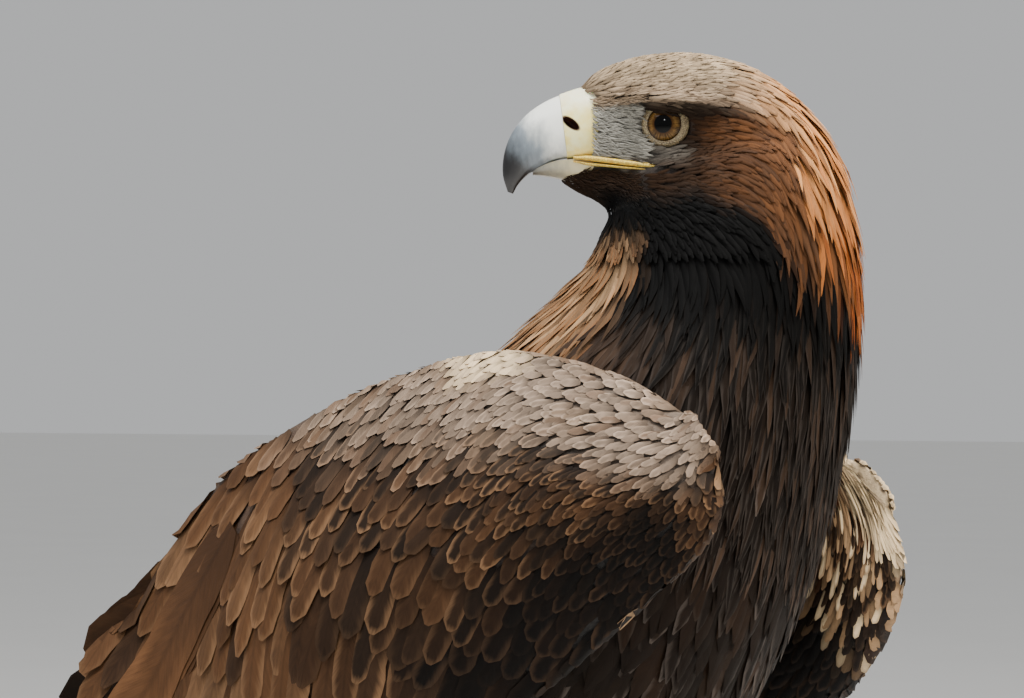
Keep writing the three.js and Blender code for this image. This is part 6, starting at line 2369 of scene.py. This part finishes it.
@dataclass
class Studio:
    """The floor, the lights and the camera."""

    bench: Bench
    azimuth: float = -66.0
    lens: float = 150.0
    distance: float = 1749.5
    target: Spot = (-33.9, 11.2, 490.0)

    def light(self, name: str, azimuth: float, elevation: float, size: float, power: float,
              tint: Colour = (1, 1, 1)) -> None:
        """Adds an area light that looks at the bird from a direction."""
        a, e = math.radians(azimuth), math.radians(elevation)
        back = Vector((math.sin(a) * math.cos(e), -math.cos(a) * math.cos(e), math.sin(e)))
        self.bench.clear()
        bpy.ops.object.light_add(type="AREA", location=Vector((0, 0, 0.4)) + back * 2.4)
        lamp = bpy.context.object
        lamp.name = name
        lamp.rotation_euler = back.to_track_quat("Z", "Y").to_euler()
        lamp.data.shape = "DISK"
        lamp.data.size = size
        lamp.data.energy = power
        lamp.data.color = tint

    def build(self) -> None:
        """Sets the studio up."""
        self.bench.clear()
        bpy.ops.mesh.primitive_plane_add(size=40)
        floor = bpy.context.object
        floor.name = "floor"
        FloorFinish().dress(floor)
        world = bpy.data.worlds.new("studio")
        bpy.context.scene.world = world
        world.use_nodes = True
        world.node_tree.nodes["Background"].inputs["Color"].default_value = (0.86, 0.87, 0.88, 1)
        world.node_tree.nodes["Background"].inputs["Strength"].default_value = 0.6
        self.light("overhead", -50, 76, 1.4, 100, (1, 0.98, 0.95))
        self.light("key", -16, 42, 0.8, 30, (1, 0.94, 0.86))
        self.light("rim", 42, 42, 0.7, 46, (1, 0.9, 0.78))
        self.light("fill", -128, 48, 1.2, 16, (0.95, 0.97, 1))
        self.light("catch", -84, 23, 0.12, 4)
        a = math.radians(self.azimuth)
        target = Vector(self.bench.metres(np.array(self.target)))
        back = Vector((math.sin(a), -math.cos(a), 0))
        self.bench.clear()
        turn = back.to_track_quat("Z", "Y").to_euler()
        bpy.ops.object.camera_add(location=target + back * (self.distance * MM), rotation=turn)
        camera = bpy.context.object
        camera.data.lens = self.lens
        camera.data.sensor_width = 36
        bpy.context.scene.camera = camera


def main() -> None:
    """Builds the eagle and its studio."""
    logging.basicConfig(level=logging.INFO, format="%(message)s")
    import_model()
    bench = Bench()
    head = HeadForm()
    bench.settle("eye_left", head.eye(Side.LEFT))
    log.info("the part stands %s mm off", np.round(bench.shift, 2))
    legs = [LegForm(side) for side in Side]
    wings = [
        WingForm(Side.RIGHT, forward=101, up=419, out=0, front=40, rear=22),
        WingForm(Side.LEFT, forward=105, up=396, out=5, front=38, rear=18, fan=21, spread=50, droop=27),
    ]
    body = Body(bench, Trunk(), head, legs, wings)
    plumage = Plumage("plumage")

    def report(what: str, pieces: Sequence[Piece]) -> None:
        """Says what was made."""
        faces = sum(len(piece.data.polygons) for piece in pieces)
        log.info("%s: %d pieces, %d faces", what, len(pieces), faces)

    body.build_ground()
    report("skin", [body.build_skin(SkinFinish())])
    coat = BodyCoat(body, plumage)
    report("body feathers", coat.build())
    bpy.data.objects.remove(body.form)
    feathered = [Wing(bench, form, plumage) for form in wings]
    for wing in feathered:
        report("wing", wing.build())
    coat.tint_skin(feathered)
    report("tail", Tail(bench, TailForm(), plumage).build())
    report("bill", Bill(bench, head).build())
    report("eyes", Eyes(bench, head).build())
    for leg in legs:
        report("foot", Foot(bench, leg).build())
    Studio(bench).build()


if __name__ == "__main__":
    main()
